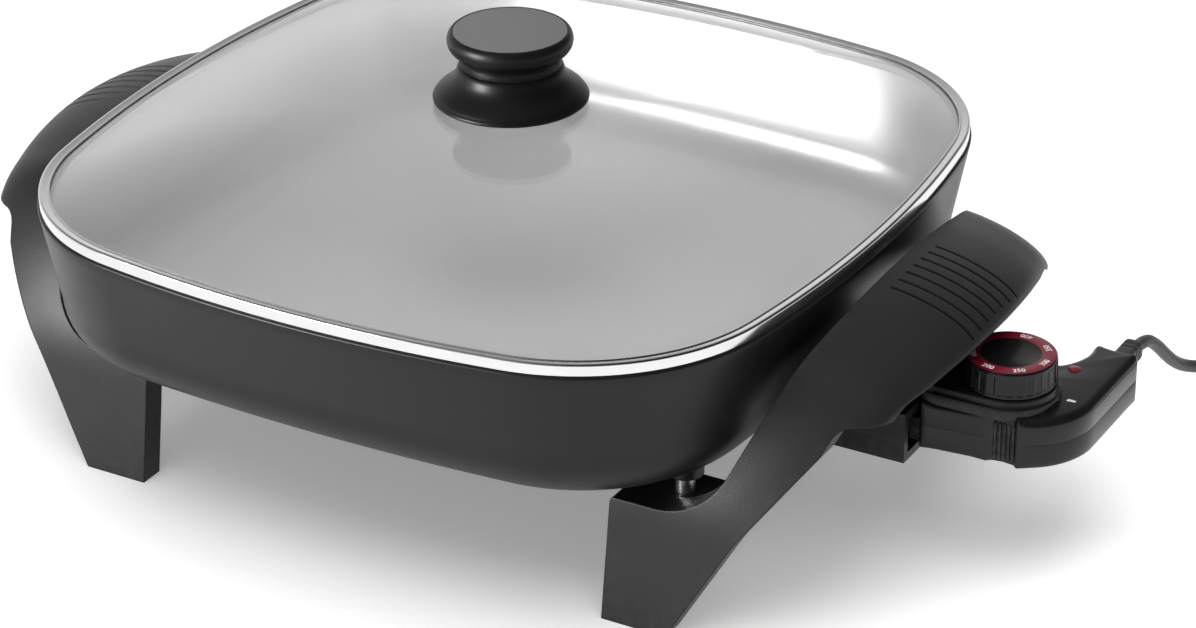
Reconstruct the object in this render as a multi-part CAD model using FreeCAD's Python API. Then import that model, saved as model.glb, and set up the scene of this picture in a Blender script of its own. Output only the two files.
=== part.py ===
import FreeCAD, Part
import math
import os
from FreeCAD import Vector

# Electric skillet: a cast square pan on two moulded leg-and-handle brackets, a domed glass
# lid that lifts off, and a plug-in heat control with its cord.
# Millimetres. While modelling, X = 0 and Y = 0 are the middle of the pan, Z = 0 is the table,
# +X points to the heat control and +Y to the back. save() moves the whole part along X, so
# that the origin of the files is under the middle of the skillet's overall length.
# The X values of the brackets, the terminals, the heat control and the cord are measured from
# the outer face of the lid band, so that all of them follow the pan's width.

# Outline of the lid band, a square with bowed sides and round corners
lid_half = 152.5
lid_side_radius = 514.0
lid_corner_radius = 77.5

# Cast pan
rim_height = 112.4
rim_overhang = 0.7
rim_edge = 1.1
wall_taper = 9.0
wall_foot_side_radius = 892.0
wall_foot_corner_radius = 69.0
bottom_rounding = 19.0
bottom_height = 57.5
pan_wall = 3.6

# Heating element cast into the floor, with the ridge that covers it
element_radius = 3.4
ridge_radius = 6.5
element_drop = 3.5
element_inset = 65.5
element_front_x = -58.5
element_bend = 22.0
element_neck_bend = 12.0
pin_spacing = 30.0

# Terminal block of the pan, its pins and insulators
block_start_x = -52.5
block_end_x = -3.5
block_half_y = 26.0
block_below = 6.0
block_above = 7.0
block_root_x = -13.0
block_root_rise = 5.0
pin_radius = 2.4
pin_length = 33.0
pin_tip = 1.2
insulator_radius = 4.5
insulator_start_x = -14.5
insulator_length = 14.0
well_radius = 3.6
well_end_x = -74.5
well_wall = 3.4

# Shroud round the terminals
shroud_wall = 3.0
shroud_fit = 0.3
shroud_start_x = -9.3
shroud_end_x = 24.5
shroud_screw_y = 22.4
shroud_screw_radius = 1.5
shroud_screw_head_radius = 2.9
shroud_screw_head = 1.8
shroud_screw_bite = 4.5

# Side profile of a bracket, from the foot up the leg and over the handle
foot_front_y = 108.7
leg_lean = 0.15
knee_height = 44.0
shoulder_y = 64.0
shoulder_height = 100.0
shoulder_slope = 0.25
bend_reach = 16.0
leg_run = 60.0
handle_top = 108.0

# Shape of a bracket across its width
handle_x = 46.8
handle_bow = 10.5
handle_bow_at = 66.0
crown_width = 42.0
crown_edge = 22.0
crown_shoulder = 8.5
crown_drop = 16.8
bracket_wall = 3.0
leg_depth = 10.0
handle_depth = 16.0

# Front view of a bracket
foot_inner_x = -54.0
foot_outer_x = -28.2
leg_mid_x = -5.3
leg_mid_height = 40.0
wing_x = 19.0
wing_drop = 9.0
notch_x = 22.5
notch_height = 82.5
notch_radius = 6.0
ledge_drop = 11.5
inner_corner_x = -17.7
inner_sweep = 28.0
handle_inner_x = 8.3
outline_above = 4.0
outline_past = 9.0
skin_margin = 12.0
skin_base = -60.0
cut_reach = 80.0

# Grip grooves across the handle
groove_count = 7
groove_spacing = 6.1
groove_width = 1.5
groove_depth = 0.9
groove_start_x = 12.5
groove_end_x = 44.5

# Fixing of a bracket under the pan
fixing_x = -33.5
fixing_from_front = 24.7
tab_thickness = 3.2
tab_past_fixing = 12.0
tab_end_x = -21.5
fixing_screw_radius = 2.0
fixing_hole_clearance = 0.3
fixing_head_radius = 3.8
fixing_head = 2.6
fixing_washer_radius = 4.8
fixing_washer = 0.8
spacer_radius = 3.5
spacer_length = 6.5
boss_radius = 6.5
boss_bite = 6.0

# Lid
band_height = 4.6
band_top_edge = 0.8
band_lip = 4.1
skirt_inset = 4.4
skirt_depth = 3.0
band_sheet = 0.6
glass_inset = 1.3
glass_thickness = 3.4
dome_inset = 4.6
dome_rise = 19.9
dome_power = 2.9
dome_flat = 0.1
glass_hole_radius = 3.5

# Lid knob
gasket_thickness = 0.6
gasket_radius = 24.0
knob_foot_radius = 26.5
knob_flange_radius = 29.0
knob_flange_height = 1.4
knob_joint_height = 13.7
knob_neck_radius = 19.2
knob_top_height = 27.0
knob_roll_radius = 23.4
knob_face_radius = 21.2
knob_face_depth = 0.6
knob_screw_radius = 2.5
knob_screw_clearance = 0.3
knob_screw_length = 28.0
knob_screw_head_radius = 4.6
knob_screw_head = 2.8
knob_insert_radius = 4.2
knob_insert_length = 13.0
lid_washer_radius = 11.0
lid_washer = 1.0

# Heat control housing, seen from above
control_front_x = 25.5
control_half_y = 20.0
waist_x = 50.5
waist_half_y = 17.6
grip_start_x = 52.5
grip_end_x = 61.5
grip_recess = 1.6
cheek_half_y = 17.8
corner_mid_x = 74.0
corner_mid_y = 9.4
side_x = 80.5
side_y = 9.0
tail_end_y = 50.0
tail_inner_x = 63.3
tail_corner = 3.0
bay_start_y = 42.0
bay_mid_x = 60.4
bay_mid_y = 33.6
bay_end_x = 54.0
bay_end_y = 26.5
control_below = 7.0
split_above = 2.5
control_above = 12.0
control_wall = 2.2
deck_rise = 6.0
deck_radius = 18.5
finger_rib_count = 4
finger_rib_radius = 0.8
finger_rib_end = 1.0

# Dial
dial_x = 51.1
dial_radius = 17.0
dial_height = 10.0
dial_gap = 0.4
dial_skirt = 2.4
dial_ring_outer = 16.0
dial_ring_inner = 11.0
dial_ring_thickness = 0.5
shaft_radius = 3.0
shaft_clearance = 0.08
shaft_over_leaf = 2.0
shaft_collar = 2.0
dial_edge = 0.9

# Nose, sensor and contacts of the heat control
nose_start_x = 4.5
nose_end_x = 30.5
nose_half_y = 19.5
nose_half_z = 4.4
socket_end_x = 26.5
clip_gap = 0.35
clip_wall = 0.7
sensor_radius = 3.2
sensor_start_x = -68.5
sensor_end_x = 35.5

# Thermostat
stack_length = 7.0
stack_half_y = 5.0
leaf_thickness = 0.5
leaf_half_y = 2.5
stack_cap = 1.2
leaf_end_x = 61.5
lower_leaf_drop = 1.0
upper_leaf_rise = 2.2
contact_radius = 1.6
contact_height = 0.9
contact_x = 58.5

# Indicator lamp
lens_x = 64.3
lens_y = 27.8
lens_radius = 2.4
lens_rise = 0.7
lens_foot = 0.6
lamp_radius = 1.7
lamp_length = 9.0

# Housing screws
housing_screw_radius = 1.4
housing_screw_head_radius = 2.6
housing_screw_head = 1.6
housing_screw_bite = 5.0
housing_post_radius = 3.2
front_post_x = 43.5
front_post_y = 11.5
tail_post_x = 71.9
tail_post_y = 36.0

# Cord and its guard
cord_radius = 2.4
guard_x = 73.9
guard_half_x = 3.5
guard_length = 11.0
guard_height = 7.4
guard_below_top = 0.6
guard_flange = 1.0
guard_flange_length = 2.6
cord_exit_drop = 5.0
cord_exit_run = 9.5
coil_outer_radius = 30.0
coil_pitch = 5.4
coil_layer = 5.3
coil_turns = 3.5
cord_floor_gap = 0.25
plug_lead = 12.0

# Plug
plug_half_x = 11.0
plug_length = 30.0
plug_neck_half = 5.0
plug_neck_length = 9.0
blade_spacing = 12.7
blade_width = 6.3
blade_thickness = 1.5
blade_length = 17.0
blade_root = 5.0
blade_hole_radius = 1.6
blade_hole_back = 4.0

middle_x = (side_x - handle_x) / 2
wall_foot_half = lid_half - wall_taper
floor_height = bottom_height + pan_wall
element_height = bottom_height - element_drop
element_side_half = wall_foot_half - element_inset
block_bottom = element_height - block_below
block_top = element_height + block_above
block_root_top = block_top + block_root_rise
wing_height = notch_height - wing_drop
ledge_height = bottom_height - ledge_drop
outline_top = handle_top + outline_above
fixing_y = foot_front_y - fixing_from_front
tab_reach_y = fixing_y - tab_past_fixing
control_bottom = element_height - control_below
control_split = element_height + split_above
control_top = element_height + control_above
deck_top = control_top + deck_rise
lower_leaf_height = element_height - lower_leaf_drop
upper_leaf_height = element_height + upper_leaf_rise
shaft_bottom = upper_leaf_height + shaft_over_leaf
guard_top = control_top - guard_below_top
guard_bottom = guard_top - guard_height
guard_end_y = tail_end_y + guard_length
cord_exit_height = control_top - cord_exit_drop
dial_bottom = deck_top + dial_gap
dial_top = dial_bottom + dial_height
glass_bottom = rim_height + band_sheet
glass_edge_top = glass_bottom + glass_thickness
dome_crown = dome_rise * (1 - dome_flat**dome_power)
glass_top = glass_edge_top + dome_crown
knob_bottom = glass_top + gasket_thickness
coil_first_height = cord_radius + cord_floor_gap
plug_height = coil_first_height + coil_layer
plug_half_z = plug_height - cord_floor_gap

os.makedirs("parts", exist_ok=True)


def save(name, shape):
    """Write one node, moved so that the origin lies under the middle of the overall length."""
    moved = shape.copy()
    moved.translate(Vector(-middle_x, 0, 0))
    moved.exportStep("parts/" + name + ".step")


def from_side(x):
    """The X of a place that is measured from the lid band's outer face."""
    return lid_half + x


def save_beside(name, shape):
    """Write one node that was drawn from the lid band's outer face."""
    moved = shape.copy()
    moved.translate(Vector(lid_half, 0, 0))
    save(name, moved)


def box(x0, x1, y0, y1, z0, z1):
    return Part.makeBox(x1 - x0, y1 - y0, z1 - z0, Vector(x0, y0, z0))


def rod(radius, start, end):
    """A round bar between two points."""
    start = Vector(*start)
    axis = Vector(*end) - start
    return Part.makeCylinder(radius, axis.Length, start, axis)


def group(shapes):
    return Part.makeCompound(shapes)


def both_sides(shape):
    """The shape and its mirror image across the X = 0 plane."""
    return [shape, shape.mirror(Vector(0, 0, 0), Vector(1, 0, 0))]


def front_and_back(shape):
    """The shape and its mirror image across the Y = 0 plane."""
    return [shape, shape.mirror(Vector(0, 0, 0), Vector(0, 1, 0))]


def bowed_square(half, side_radius, corner_radius, height):
    """A closed wire: four bowed sides of side_radius joined by corners, all arcs tangent."""
    side_centre = half - side_radius
    reach = side_radius - corner_radius
    corner_centre = (side_centre + math.sqrt(2 * reach**2 - side_centre**2)) / 2
    turn = math.atan2(corner_centre, corner_centre - side_centre)
    join = (side_centre + side_radius * math.cos(turn), side_radius * math.sin(turn))
    corner = corner_centre + corner_radius * math.sqrt(0.5)
    edges = []
    for quarter in range(4):
        angle = quarter * math.pi / 2

        def spot(x, y):
            return Vector(
                x * math.cos(angle) - y * math.sin(angle),
                x * math.sin(angle) + y * math.cos(angle),
                height,
            )

        side = Part.Arc(spot(join[0], -join[1]), spot(half, 0), spot(*join))
        round_corner = Part.Arc(spot(*join), spot(corner, corner), spot(join[1], join[0]))
        edges += [side.toShape(), round_corner.toShape()]
    return Part.Wire(edges)


def lid_outline(inset, height):
    """The lid's outline, drawn in by inset."""
    return bowed_square(
        lid_half - inset, lid_side_radius - inset, lid_corner_radius - inset, height
    )


def foot_outline(inset, height):
    """The outline where the pan's wall meets its bottom rounding, drawn in by inset."""
    return bowed_square(
        wall_foot_half - inset,
        wall_foot_side_radius - inset,
        wall_foot_corner_radius - inset,
        height,
    )


def stack(wires):
    """A solid with straight sides from each wire to the next."""
    return Part.makeLoft(wires, True, True)


def basin(inset, top):
    """The solid inside the pan's outer skin moved in by inset, up to a height."""
    centre_height = bottom_height + bottom_rounding
    radius = bottom_rounding - inset
    wall = [lid_outline(inset - rim_overhang, top), foot_outline(inset, centre_height)]
    rounding = []
    for step in range(7):
        angle = step * math.pi / 12
        drawn_in = inset + radius * (1 - math.cos(angle))
        rounding.append(foot_outline(drawn_in, centre_height - radius * math.sin(angle)))
    return stack(wall).fuse(Part.makeLoft(rounding, True, False))


def line_wire(points):
    return Part.makePolygon([Vector(*p) for p in points])


def rounded_path(points, radii):
    """An open wire through points whose inner corners are rounded by the radii given."""
    points = [Vector(*p) for p in points]
    edges = []
    start = points[0]
    for before, corner, after, radius in zip(points, points[1:], points[2:], radii):
        arrive = (corner - before).normalize()
        leave = (after - corner).normalize()
        turn = arrive.getAngle(leave)
        cut = radius * math.tan(turn / 2)
        first = corner - arrive * cut
        last = corner + leave * cut
        inward = (leave - arrive).normalize()
        middle = corner + inward * (radius / math.cos(turn / 2) - radius)
        edges.append(Part.LineSegment(start, first).toShape())
        edges.append(Part.Arc(first, middle, last).toShape())
        start = last
    edges.append(Part.LineSegment(start, points[-1]).toShape())
    return Part.Wire(edges)


def tube(path, radius, start, direction):
    """A round bar of one radius along a path."""
    ring = Part.Wire(Part.makeCircle(radius, Vector(*start), Vector(*direction)))
    return path.makePipeShell([ring], True, False)


def rounded_polygon(corners):
    """A closed wire in the X-Z plane from (x, z, radius) corners, each rounded by its radius."""
    count = len(corners)
    edges = []
    joints = []
    for i in range(count):
        x, z, radius = corners[i]
        here = Vector(x, 0, z)
        before = Vector(corners[i - 1][0], 0, corners[i - 1][1])
        after = Vector(corners[(i + 1) % count][0], 0, corners[(i + 1) % count][1])
        arrive = (here - before).normalize()
        leave = (after - here).normalize()
        if radius <= 0:
            joints.append((here, None, here))
            continue
        turn = arrive.getAngle(leave)
        cut = radius * math.tan(turn / 2)
        middle = here + (leave - arrive).normalize() * (radius / math.cos(turn / 2) - radius)
        joints.append((here - arrive * cut, middle, here + leave * cut))
    for i in range(count):
        first, middle, last = joints[i]
        if middle is not None:
            edges.append(Part.Arc(first, middle, last).toShape())
        edges.append(Part.LineSegment(last, joints[(i + 1) % count][0]).toShape())
    return Part.Wire(edges)


def inset_corners(corners, inset):
    """Corners of a clockwise polygon moved inward, each radius kept concentric."""
    count = len(corners)
    moved = []
    for i in range(count):
        x, z, radius = corners[i]
        px, pz, _ = corners[i - 1]
        nx, nz, _ = corners[(i + 1) % count]
        a = Vector(x - px, z - pz, 0).normalize()
        b = Vector(nx - x, nz - z, 0).normalize()
        side_a = Vector(a.y, -a.x, 0)
        side_b = Vector(b.y, -b.x, 0)
        bisector = side_a + side_b
        shift = bisector * (inset / (1 + side_a.dot(side_b)))
        outside = a.x * b.y - a.y * b.x < 0
        new_radius = max(radius - inset, 0) if outside else radius + inset
        moved.append((x + shift.x, z + shift.y, new_radius if radius else 0))
    return moved


# Brackets


def bracket_stations(inset):
    """Points (y, z) along the side profile from the front foot to the back one.

    The leg is straight and leans back, a cubic bend turns it into the handle, and the
    handle's top is a parabola. Each point is moved inward, square to the profile, by inset.
    """
    knee = Vector(0, leg_lean * knee_height - foot_front_y, knee_height)
    shoulder = Vector(0, -shoulder_y, shoulder_height)
    up = Vector(0, leg_lean, 1).normalize() * bend_reach
    over = Vector(0, 1, shoulder_slope).normalize() * bend_reach
    half = []
    leg_steps = 5
    for step in range(leg_steps + 1):
        height = knee_height - leg_run * (1 - step / leg_steps)
        half.append((Vector(0, leg_lean * height - foot_front_y, height), up))
    bend_steps = 6
    for step in range(1, bend_steps + 1):
        t = step / bend_steps
        poles = [knee, knee + up, shoulder - over, shoulder]
        weights = [(1 - t) ** 3, 3 * t * (1 - t) ** 2, 3 * t * t * (1 - t), t**3]
        slopes = [-((1 - t) ** 2), (1 - t) ** 2 - 2 * t * (1 - t), 2 * t * (1 - t) - t * t, t * t]
        point = Vector(0, 0, 0)
        along = Vector(0, 0, 0)
        for pole, weight, slope in zip(poles, weights, slopes):
            point += pole * weight
            along += pole * slope
        half.append((point, along))
    handle_steps = 6
    rise = handle_top - shoulder_height
    for step in range(1, handle_steps + 1):
        y = -shoulder_y * (1 - step / handle_steps)
        half.append(
            (
                Vector(0, y, handle_top - rise * (y / shoulder_y) ** 2),
                Vector(0, 1, -2 * rise * y / shoulder_y**2),
            )
        )
    front = []
    for point, along in half:
        along = along.normalize()
        inward = Vector(0, along.z, -along.y)
        front.append(point + inward * inset)
    back = [Vector(0, -p.y, p.z) for p in reversed(front[:-1])]
    return front + back


def handle_edge(y):
    """How far out the handle's edge lies, bowed in towards the front and the back."""
    return handle_x - handle_bow * (y / handle_bow_at) ** 2


def below_skin(inset):
    """The solid below the bracket's outer skin moved in by inset, with its crowned edge."""
    inner = foot_inner_x - skin_margin
    sections = []
    for point in bracket_stations(inset):
        edge = handle_edge(point.y) - inset
        flat = handle_edge(point.y) - crown_width
        shoulder = Vector(edge, point.y, point.z - crown_shoulder)
        lip = Vector(edge, point.y, point.z - crown_drop)
        crown = Part.BezierCurve()
        crown.setPoles(
            [
                Vector(flat, point.y, point.z),
                Vector(handle_edge(point.y) - crown_edge, point.y, point.z),
                shoulder,
                lip,
            ]
        )
        top_start = Vector(inner, point.y, point.z)
        floor_start = Vector(inner, point.y, skin_base)
        floor_end = Vector(edge, point.y, skin_base)
        sections.append(
            Part.Wire(
                [
                    Part.LineSegment(floor_start, top_start).toShape(),
                    Part.LineSegment(top_start, Vector(flat, point.y, point.z)).toShape(),
                    crown.toShape(),
                    Part.LineSegment(lip, floor_end).toShape(),
                    Part.LineSegment(floor_end, floor_start).toShape(),
                ]
            )
        )
    return Part.makeLoft(sections, True, False)


def bracket_underside():
    """The room between the legs, under the flanges of the bracket."""
    legs = bracket_stations(leg_depth)
    top = bracket_stations(handle_depth)
    points = []
    for leg_point, top_point in zip(legs, top):
        share = min(1.0, max(0.0, (leg_point.z - knee_height) / (shoulder_height - knee_height)))
        points.append(leg_point * (1 - share) + top_point * share)
    curve = Part.BSplineCurve()
    curve.interpolate(points)
    first = points[0]
    last = points[-1]
    low_first = Vector(0, first.y, -cut_reach)
    low_last = Vector(0, last.y, -cut_reach)
    wire = Part.Wire(
        [
            curve.toShape(),
            Part.LineSegment(last, low_last).toShape(),
            Part.LineSegment(low_last, low_first).toShape(),
            Part.LineSegment(low_first, first).toShape(),
        ]
    )
    face = Part.Face(wire)
    face.translate(Vector(foot_inner_x - cut_reach, 0, 0))
    return face.extrude(Vector(handle_x - foot_inner_x + 2 * cut_reach, 0, 0))


def bracket_front_corners():
    """The bracket's outline in front view, clockwise from the foot's inner corner."""
    out = handle_x + outline_past
    return [
        (foot_inner_x, 0.0, 0),
        (foot_inner_x, ledge_height, 1.5),
        (inner_corner_x, ledge_height, inner_sweep),
        (handle_inner_x, outline_top, 0),
        (out, outline_top, 0),
        (out, notch_height, 0),
        (notch_x, notch_height, notch_radius),
        (wing_x, wing_height, 2.5),
        (leg_mid_x, leg_mid_height, 60.0),
        (foot_outer_x, 0.0, 0),
    ]


def front_prism(corners):
    """A front-view outline, extruded through both legs."""
    reach = foot_front_y + cut_reach
    face = Part.Face(rounded_polygon(corners))
    face.translate(Vector(0, -reach, 0))
    return face.extrude(Vector(0, 2 * reach, 0))


def bracket_right():
    corners = bracket_front_corners()
    skin = below_skin(0)
    body = skin.common(front_prism(corners)).cut(bracket_underside())
    hollow = below_skin(bracket_wall).common(front_prism(inset_corners(corners, bracket_wall)))
    body = body.cut(hollow)
    tabs = box(
        foot_inner_x + bracket_wall / 2,
        tab_end_x,
        leg_lean * ledge_height - foot_front_y + bracket_wall / 2,
        -tab_reach_y,
        ledge_height - tab_thickness,
        ledge_height,
    )
    hole = rod(
        fixing_screw_radius + fixing_hole_clearance,
        (fixing_x, -fixing_y, ledge_height - cut_reach),
        (fixing_x, -fixing_y, ledge_height + cut_reach),
    )
    tabs = tabs.common(skin).cut(hole)
    body = body.fuse(front_and_back(tabs))
    grooves = []
    for number in range(groove_count):
        y = (number - (groove_count - 1) / 2) * groove_spacing
        grooves.append(
            box(
                groove_start_x,
                groove_end_x,
                y - groove_width / 2,
                y + groove_width / 2,
                notch_height,
                outline_top,
            )
        )
    cutter = group(grooves).cut(below_skin(groove_depth))
    return body.cut(cutter)


right = bracket_right()
save_beside("right_bracket", right)
save("left_bracket", right.mirror(Vector(-lid_half / 2, 0, 0), Vector(1, 0, 0)))

spacers = []
washers = []
screws = []
boss_places = []
for sx in (-1, 1):
    for sy in (-1, 1):
        x = sx * from_side(fixing_x)
        y = sy * fixing_y
        tab_bottom = ledge_height - tab_thickness
        washer_bottom = tab_bottom - fixing_washer
        boss_bottom = ledge_height + spacer_length
        shank_top = boss_bottom + boss_bite
        shank = rod(fixing_screw_radius, (x, y, washer_bottom), (x, y, shank_top))
        head = rod(fixing_head_radius, (x, y, washer_bottom - fixing_head), (x, y, washer_bottom))
        screws.append(shank.fuse(head))
        hole_radius = fixing_screw_radius + fixing_hole_clearance
        hole = rod(hole_radius, (x, y, washer_bottom - 1), (x, y, shank_top))
        washers.append(
            rod(fixing_washer_radius, (x, y, washer_bottom), (x, y, tab_bottom)).cut(hole)
        )
        spacers.append(rod(spacer_radius, (x, y, ledge_height), (x, y, boss_bottom)).cut(hole))
        boss_places.append((x, y, boss_bottom, shank_top))
save("bracket_screws", group(screws))
save("bracket_washers", group(washers))
save("bracket_spacers", group(spacers))


# Pan with its terminal block, element ridge and bosses

pin_y = pin_spacing / 2
neck_x = from_side(element_front_x + element_bend)
front_x = from_side(element_front_x)
element_points = [
    (from_side(insulator_start_x), -pin_y, element_height),
    (neck_x, -pin_y, element_height),
    (front_x, -element_side_half, element_height),
    (-element_side_half, -element_side_half, element_height),
    (-element_side_half, element_side_half, element_height),
    (front_x, element_side_half, element_height),
    (neck_x, pin_y, element_height),
    (from_side(insulator_start_x), pin_y, element_height),
]
element_radii = [element_neck_bend] + [element_bend] * 4 + [element_neck_bend]
element_path = rounded_path(element_points, element_radii)
element = tube(element_path, element_radius, element_points[0], (-1, 0, 0))
ridge = tube(element_path, ridge_radius, element_points[0], (-1, 0, 0))

rim_start = rim_height - rim_edge
rim = [lid_outline(rim_edge - rim_overhang, rim_height), lid_outline(-rim_overhang, rim_start)]
pan = basin(0, rim_start).fuse(stack(rim))
pan = pan.fuse(ridge)
for end_x, low, high in (
    (from_side(block_end_x), block_bottom, block_top),
    (from_side(block_root_x), block_top, block_root_top),
):
    start_x = from_side(block_start_x)
    pan = pan.fuse(box(start_x, end_x, -block_half_y, block_half_y, low, high))
well_start = (from_side(well_end_x - well_wall), 0, element_height)
well_root = (from_side(block_root_x), 0, element_height)
pan = pan.fuse(rod(well_radius + well_wall, well_start, well_root))
for x, y, boss_bottom, shank_top in boss_places:
    pan = pan.fuse(rod(boss_radius, (x, y, boss_bottom), (x, y, floor_height + 1)))
hollow = basin(pan_wall, rim_height + 1)
pan = pan.cut(hollow)
pan = pan.cut(element)
past_block = from_side(block_end_x) + 1
well_end = (from_side(well_end_x), 0, element_height)
pan = pan.cut(rod(well_radius, well_end, (past_block, 0, element_height)))
for x, y, boss_bottom, shank_top in boss_places:
    pan = pan.cut(rod(fixing_screw_radius, (x, y, boss_bottom - 1), (x, y, shank_top)))
insulators = []
pins = []
for y in (-pin_y, pin_y):
    start = (from_side(insulator_start_x), y, element_height)
    end = (from_side(insulator_start_x + insulator_length), y, element_height)
    pan = pan.cut(rod(insulator_radius, start, (past_block, y, element_height)))
    pin_end = from_side(insulator_start_x + pin_length)
    pin = rod(pin_radius, start, (pin_end - pin_tip, y, element_height))
    tip_start = Vector(pin_end - pin_tip, y, element_height)
    tip = Part.makeCone(pin_radius, pin_radius - pin_tip / 2, pin_tip, tip_start, Vector(1, 0, 0))
    pins.append(pin.fuse(tip))
    insulators.append(rod(insulator_radius, start, end).cut(pin))
shroud_screw_x = from_side((shroud_start_x + block_end_x) / 2)
shroud_outer_bottom = block_bottom - shroud_fit - shroud_wall
shroud_screws = []
for y in (-shroud_screw_y, shroud_screw_y):
    place = (shroud_screw_x, y, shroud_outer_bottom)
    top = (shroud_screw_x, y, block_bottom + shroud_screw_bite)
    shank = rod(shroud_screw_radius, place, top)
    below = (shroud_screw_x, y, shroud_outer_bottom - shroud_screw_head)
    shroud_screws.append(shank.fuse(rod(shroud_screw_head_radius, below, place)))
pan = pan.cut(group(shroud_screws))
save("pan", pan)
save("heating_element", element)
save("terminal_pin_front", pins[0])
save("terminal_pin_back", pins[1])
save("terminal_insulators", group(insulators))

shroud_outer = block_half_y + shroud_fit + shroud_wall
shroud_inner = block_half_y + shroud_fit
shroud = box(
    from_side(shroud_start_x),
    from_side(shroud_end_x),
    -shroud_outer,
    shroud_outer,
    shroud_outer_bottom,
    block_top + shroud_fit + shroud_wall,
)
shroud = shroud.cut(
    box(
        from_side(shroud_start_x) - 1,
        from_side(shroud_end_x) + 1,
        -shroud_inner,
        shroud_inner,
        block_bottom - shroud_fit,
        block_top + shroud_fit,
    )
)
shroud = shroud.cut(group(shroud_screws))
save("terminal_shroud", shroud)
save("shroud_screws", group(shroud_screws))


# Lid


def dome(edge_height):
    """The lid's crowned solid: outlines scaled by k, which rise as 1 - k to a power."""
    half = lid_half - dome_inset
    sections = []
    for k in (1.0, 0.95, 0.87, 0.76, 0.62, 0.45, 0.28, dome_flat):
        height = edge_height + dome_rise * (1 - k**dome_power)
        side = (lid_side_radius - dome_inset) * k
        corner = (lid_corner_radius - dome_inset) * k
        sections.append(bowed_square(half * k, side, corner, height))
    return Part.makeLoft(sections, True, False)


glass_plate = stack([lid_outline(glass_inset, glass_bottom), lid_outline(glass_inset, glass_edge_top)])
glass = glass_plate.fuse(dome(glass_edge_top)).cut(dome(glass_bottom))
glass = glass.cut(rod(glass_hole_radius, (0, 0, rim_height), (0, 0, knob_bottom)))
save("lid_glass", glass)

band_top = rim_height + band_height
band = stack(
    [
        lid_outline(0, rim_height),
        lid_outline(0, band_top - band_top_edge),
        lid_outline(band_top_edge, band_top),
    ]
)
skirt_bottom = rim_height - skirt_depth
skirt_inner = skirt_inset + band_sheet
skirt = stack([lid_outline(skirt_inset, skirt_bottom), lid_outline(skirt_inset, glass_bottom)])
inside = stack([lid_outline(skirt_inner, skirt_bottom - 1), lid_outline(skirt_inner, glass_bottom)])
band = band.fuse(skirt).cut(inside)
band = band.cut(stack([lid_outline(band_lip, glass_bottom), lid_outline(band_lip, band_top + 1)]))
band = band.cut(glass_plate)
save("lid_band", band)


# Knob


def turned(edges):
    """A solid of revolution about Z from a chain of points; a list of points is a curve."""
    pieces = []
    last = None
    for item in edges:
        if isinstance(item, list):
            points = [Vector(r, 0, z) for r, z in item]
            if last is not None:
                points = [last] + points
            curve = Part.BSplineCurve()
            curve.interpolate(points)
            pieces.append(curve.toShape())
            last = points[-1]
        else:
            point = Vector(item[0], 0, item[1])
            if last is not None:
                pieces.append(Part.LineSegment(last, point).toShape())
            last = point
    face = Part.Face(Part.Wire(pieces))
    return face.revolve(Vector(0, 0, 0), Vector(0, 0, 1), 360)


joint = knob_bottom + knob_joint_height
crest = knob_bottom + knob_top_height
flange = knob_bottom + knob_flange_height
washer_top = glass_bottom + dome_crown
screw_top = washer_top - lid_washer + knob_screw_length
knob_bore = knob_screw_radius + knob_screw_clearance
knob_base = turned(
    [
        (knob_bore, knob_bottom),
        (knob_foot_radius, knob_bottom),
        [(knob_flange_radius - 0.3, knob_bottom + 0.5), (knob_flange_radius, flange)],
        [(knob_flange_radius - 0.7, flange + 1.5), (knob_flange_radius - 1.6, flange + 2.2)],
        [
            (knob_flange_radius - 4.3, flange + 4.0),
            (knob_neck_radius + 2.4, flange + 7.4),
            (knob_neck_radius + 0.6, flange + 10.2),
            (knob_neck_radius + 0.2, joint),
        ],
        (knob_bore, joint),
        (knob_bore, knob_bottom),
    ]
)
save("knob_base", knob_base)
insert_top = joint + knob_insert_length
knob_grip = turned(
    [
        (0, joint),
        (knob_neck_radius - 0.4, joint),
        (knob_neck_radius, joint + 2.6),
        [
            (knob_neck_radius + 0.5, joint + 4.6),
            (knob_roll_radius - 1.1, joint + 6.6),
            (knob_roll_radius, joint + 9.8),
            (knob_roll_radius - 0.8, joint + 12.4),
            (knob_face_radius + 0.4, crest),
        ],
        (knob_face_radius, crest),
        (knob_face_radius, crest - knob_face_depth),
        (0, crest - knob_face_depth),
        (0, joint),
    ]
)
knob_grip = knob_grip.cut(rod(knob_insert_radius, (0, 0, joint - 1), (0, 0, insert_top - 1)))
save("knob_grip", knob_grip)
save(
    "knob_face_disc",
    rod(knob_face_radius, (0, 0, crest - knob_face_depth), (0, 0, crest)),
)
knob_screw = rod(knob_screw_radius, (0, 0, washer_top - lid_washer), (0, 0, screw_top))
knob_screw = knob_screw.fuse(
    rod(
        knob_screw_head_radius,
        (0, 0, washer_top - lid_washer - knob_screw_head),
        (0, 0, washer_top - lid_washer),
    )
)
insert = rod(knob_insert_radius, (0, 0, joint), (0, 0, insert_top - 1)).cut(knob_screw)
save("knob_insert", insert)
save("knob_screw", knob_screw)
gasket = rod(gasket_radius, (0, 0, glass_top), (0, 0, knob_bottom))
save("knob_gasket", gasket.cut(rod(glass_hole_radius, (0, 0, glass_top - 1), (0, 0, knob_bottom + 1))))
lid_washer_solid = rod(lid_washer_radius, (0, 0, washer_top - lid_washer), (0, 0, washer_top))
washer_hole = rod(knob_bore, (0, 0, washer_top - lid_washer - 1), (0, 0, washer_top + 1))
save("lid_washer", lid_washer_solid.cut(washer_hole))


# Heat control


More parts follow.
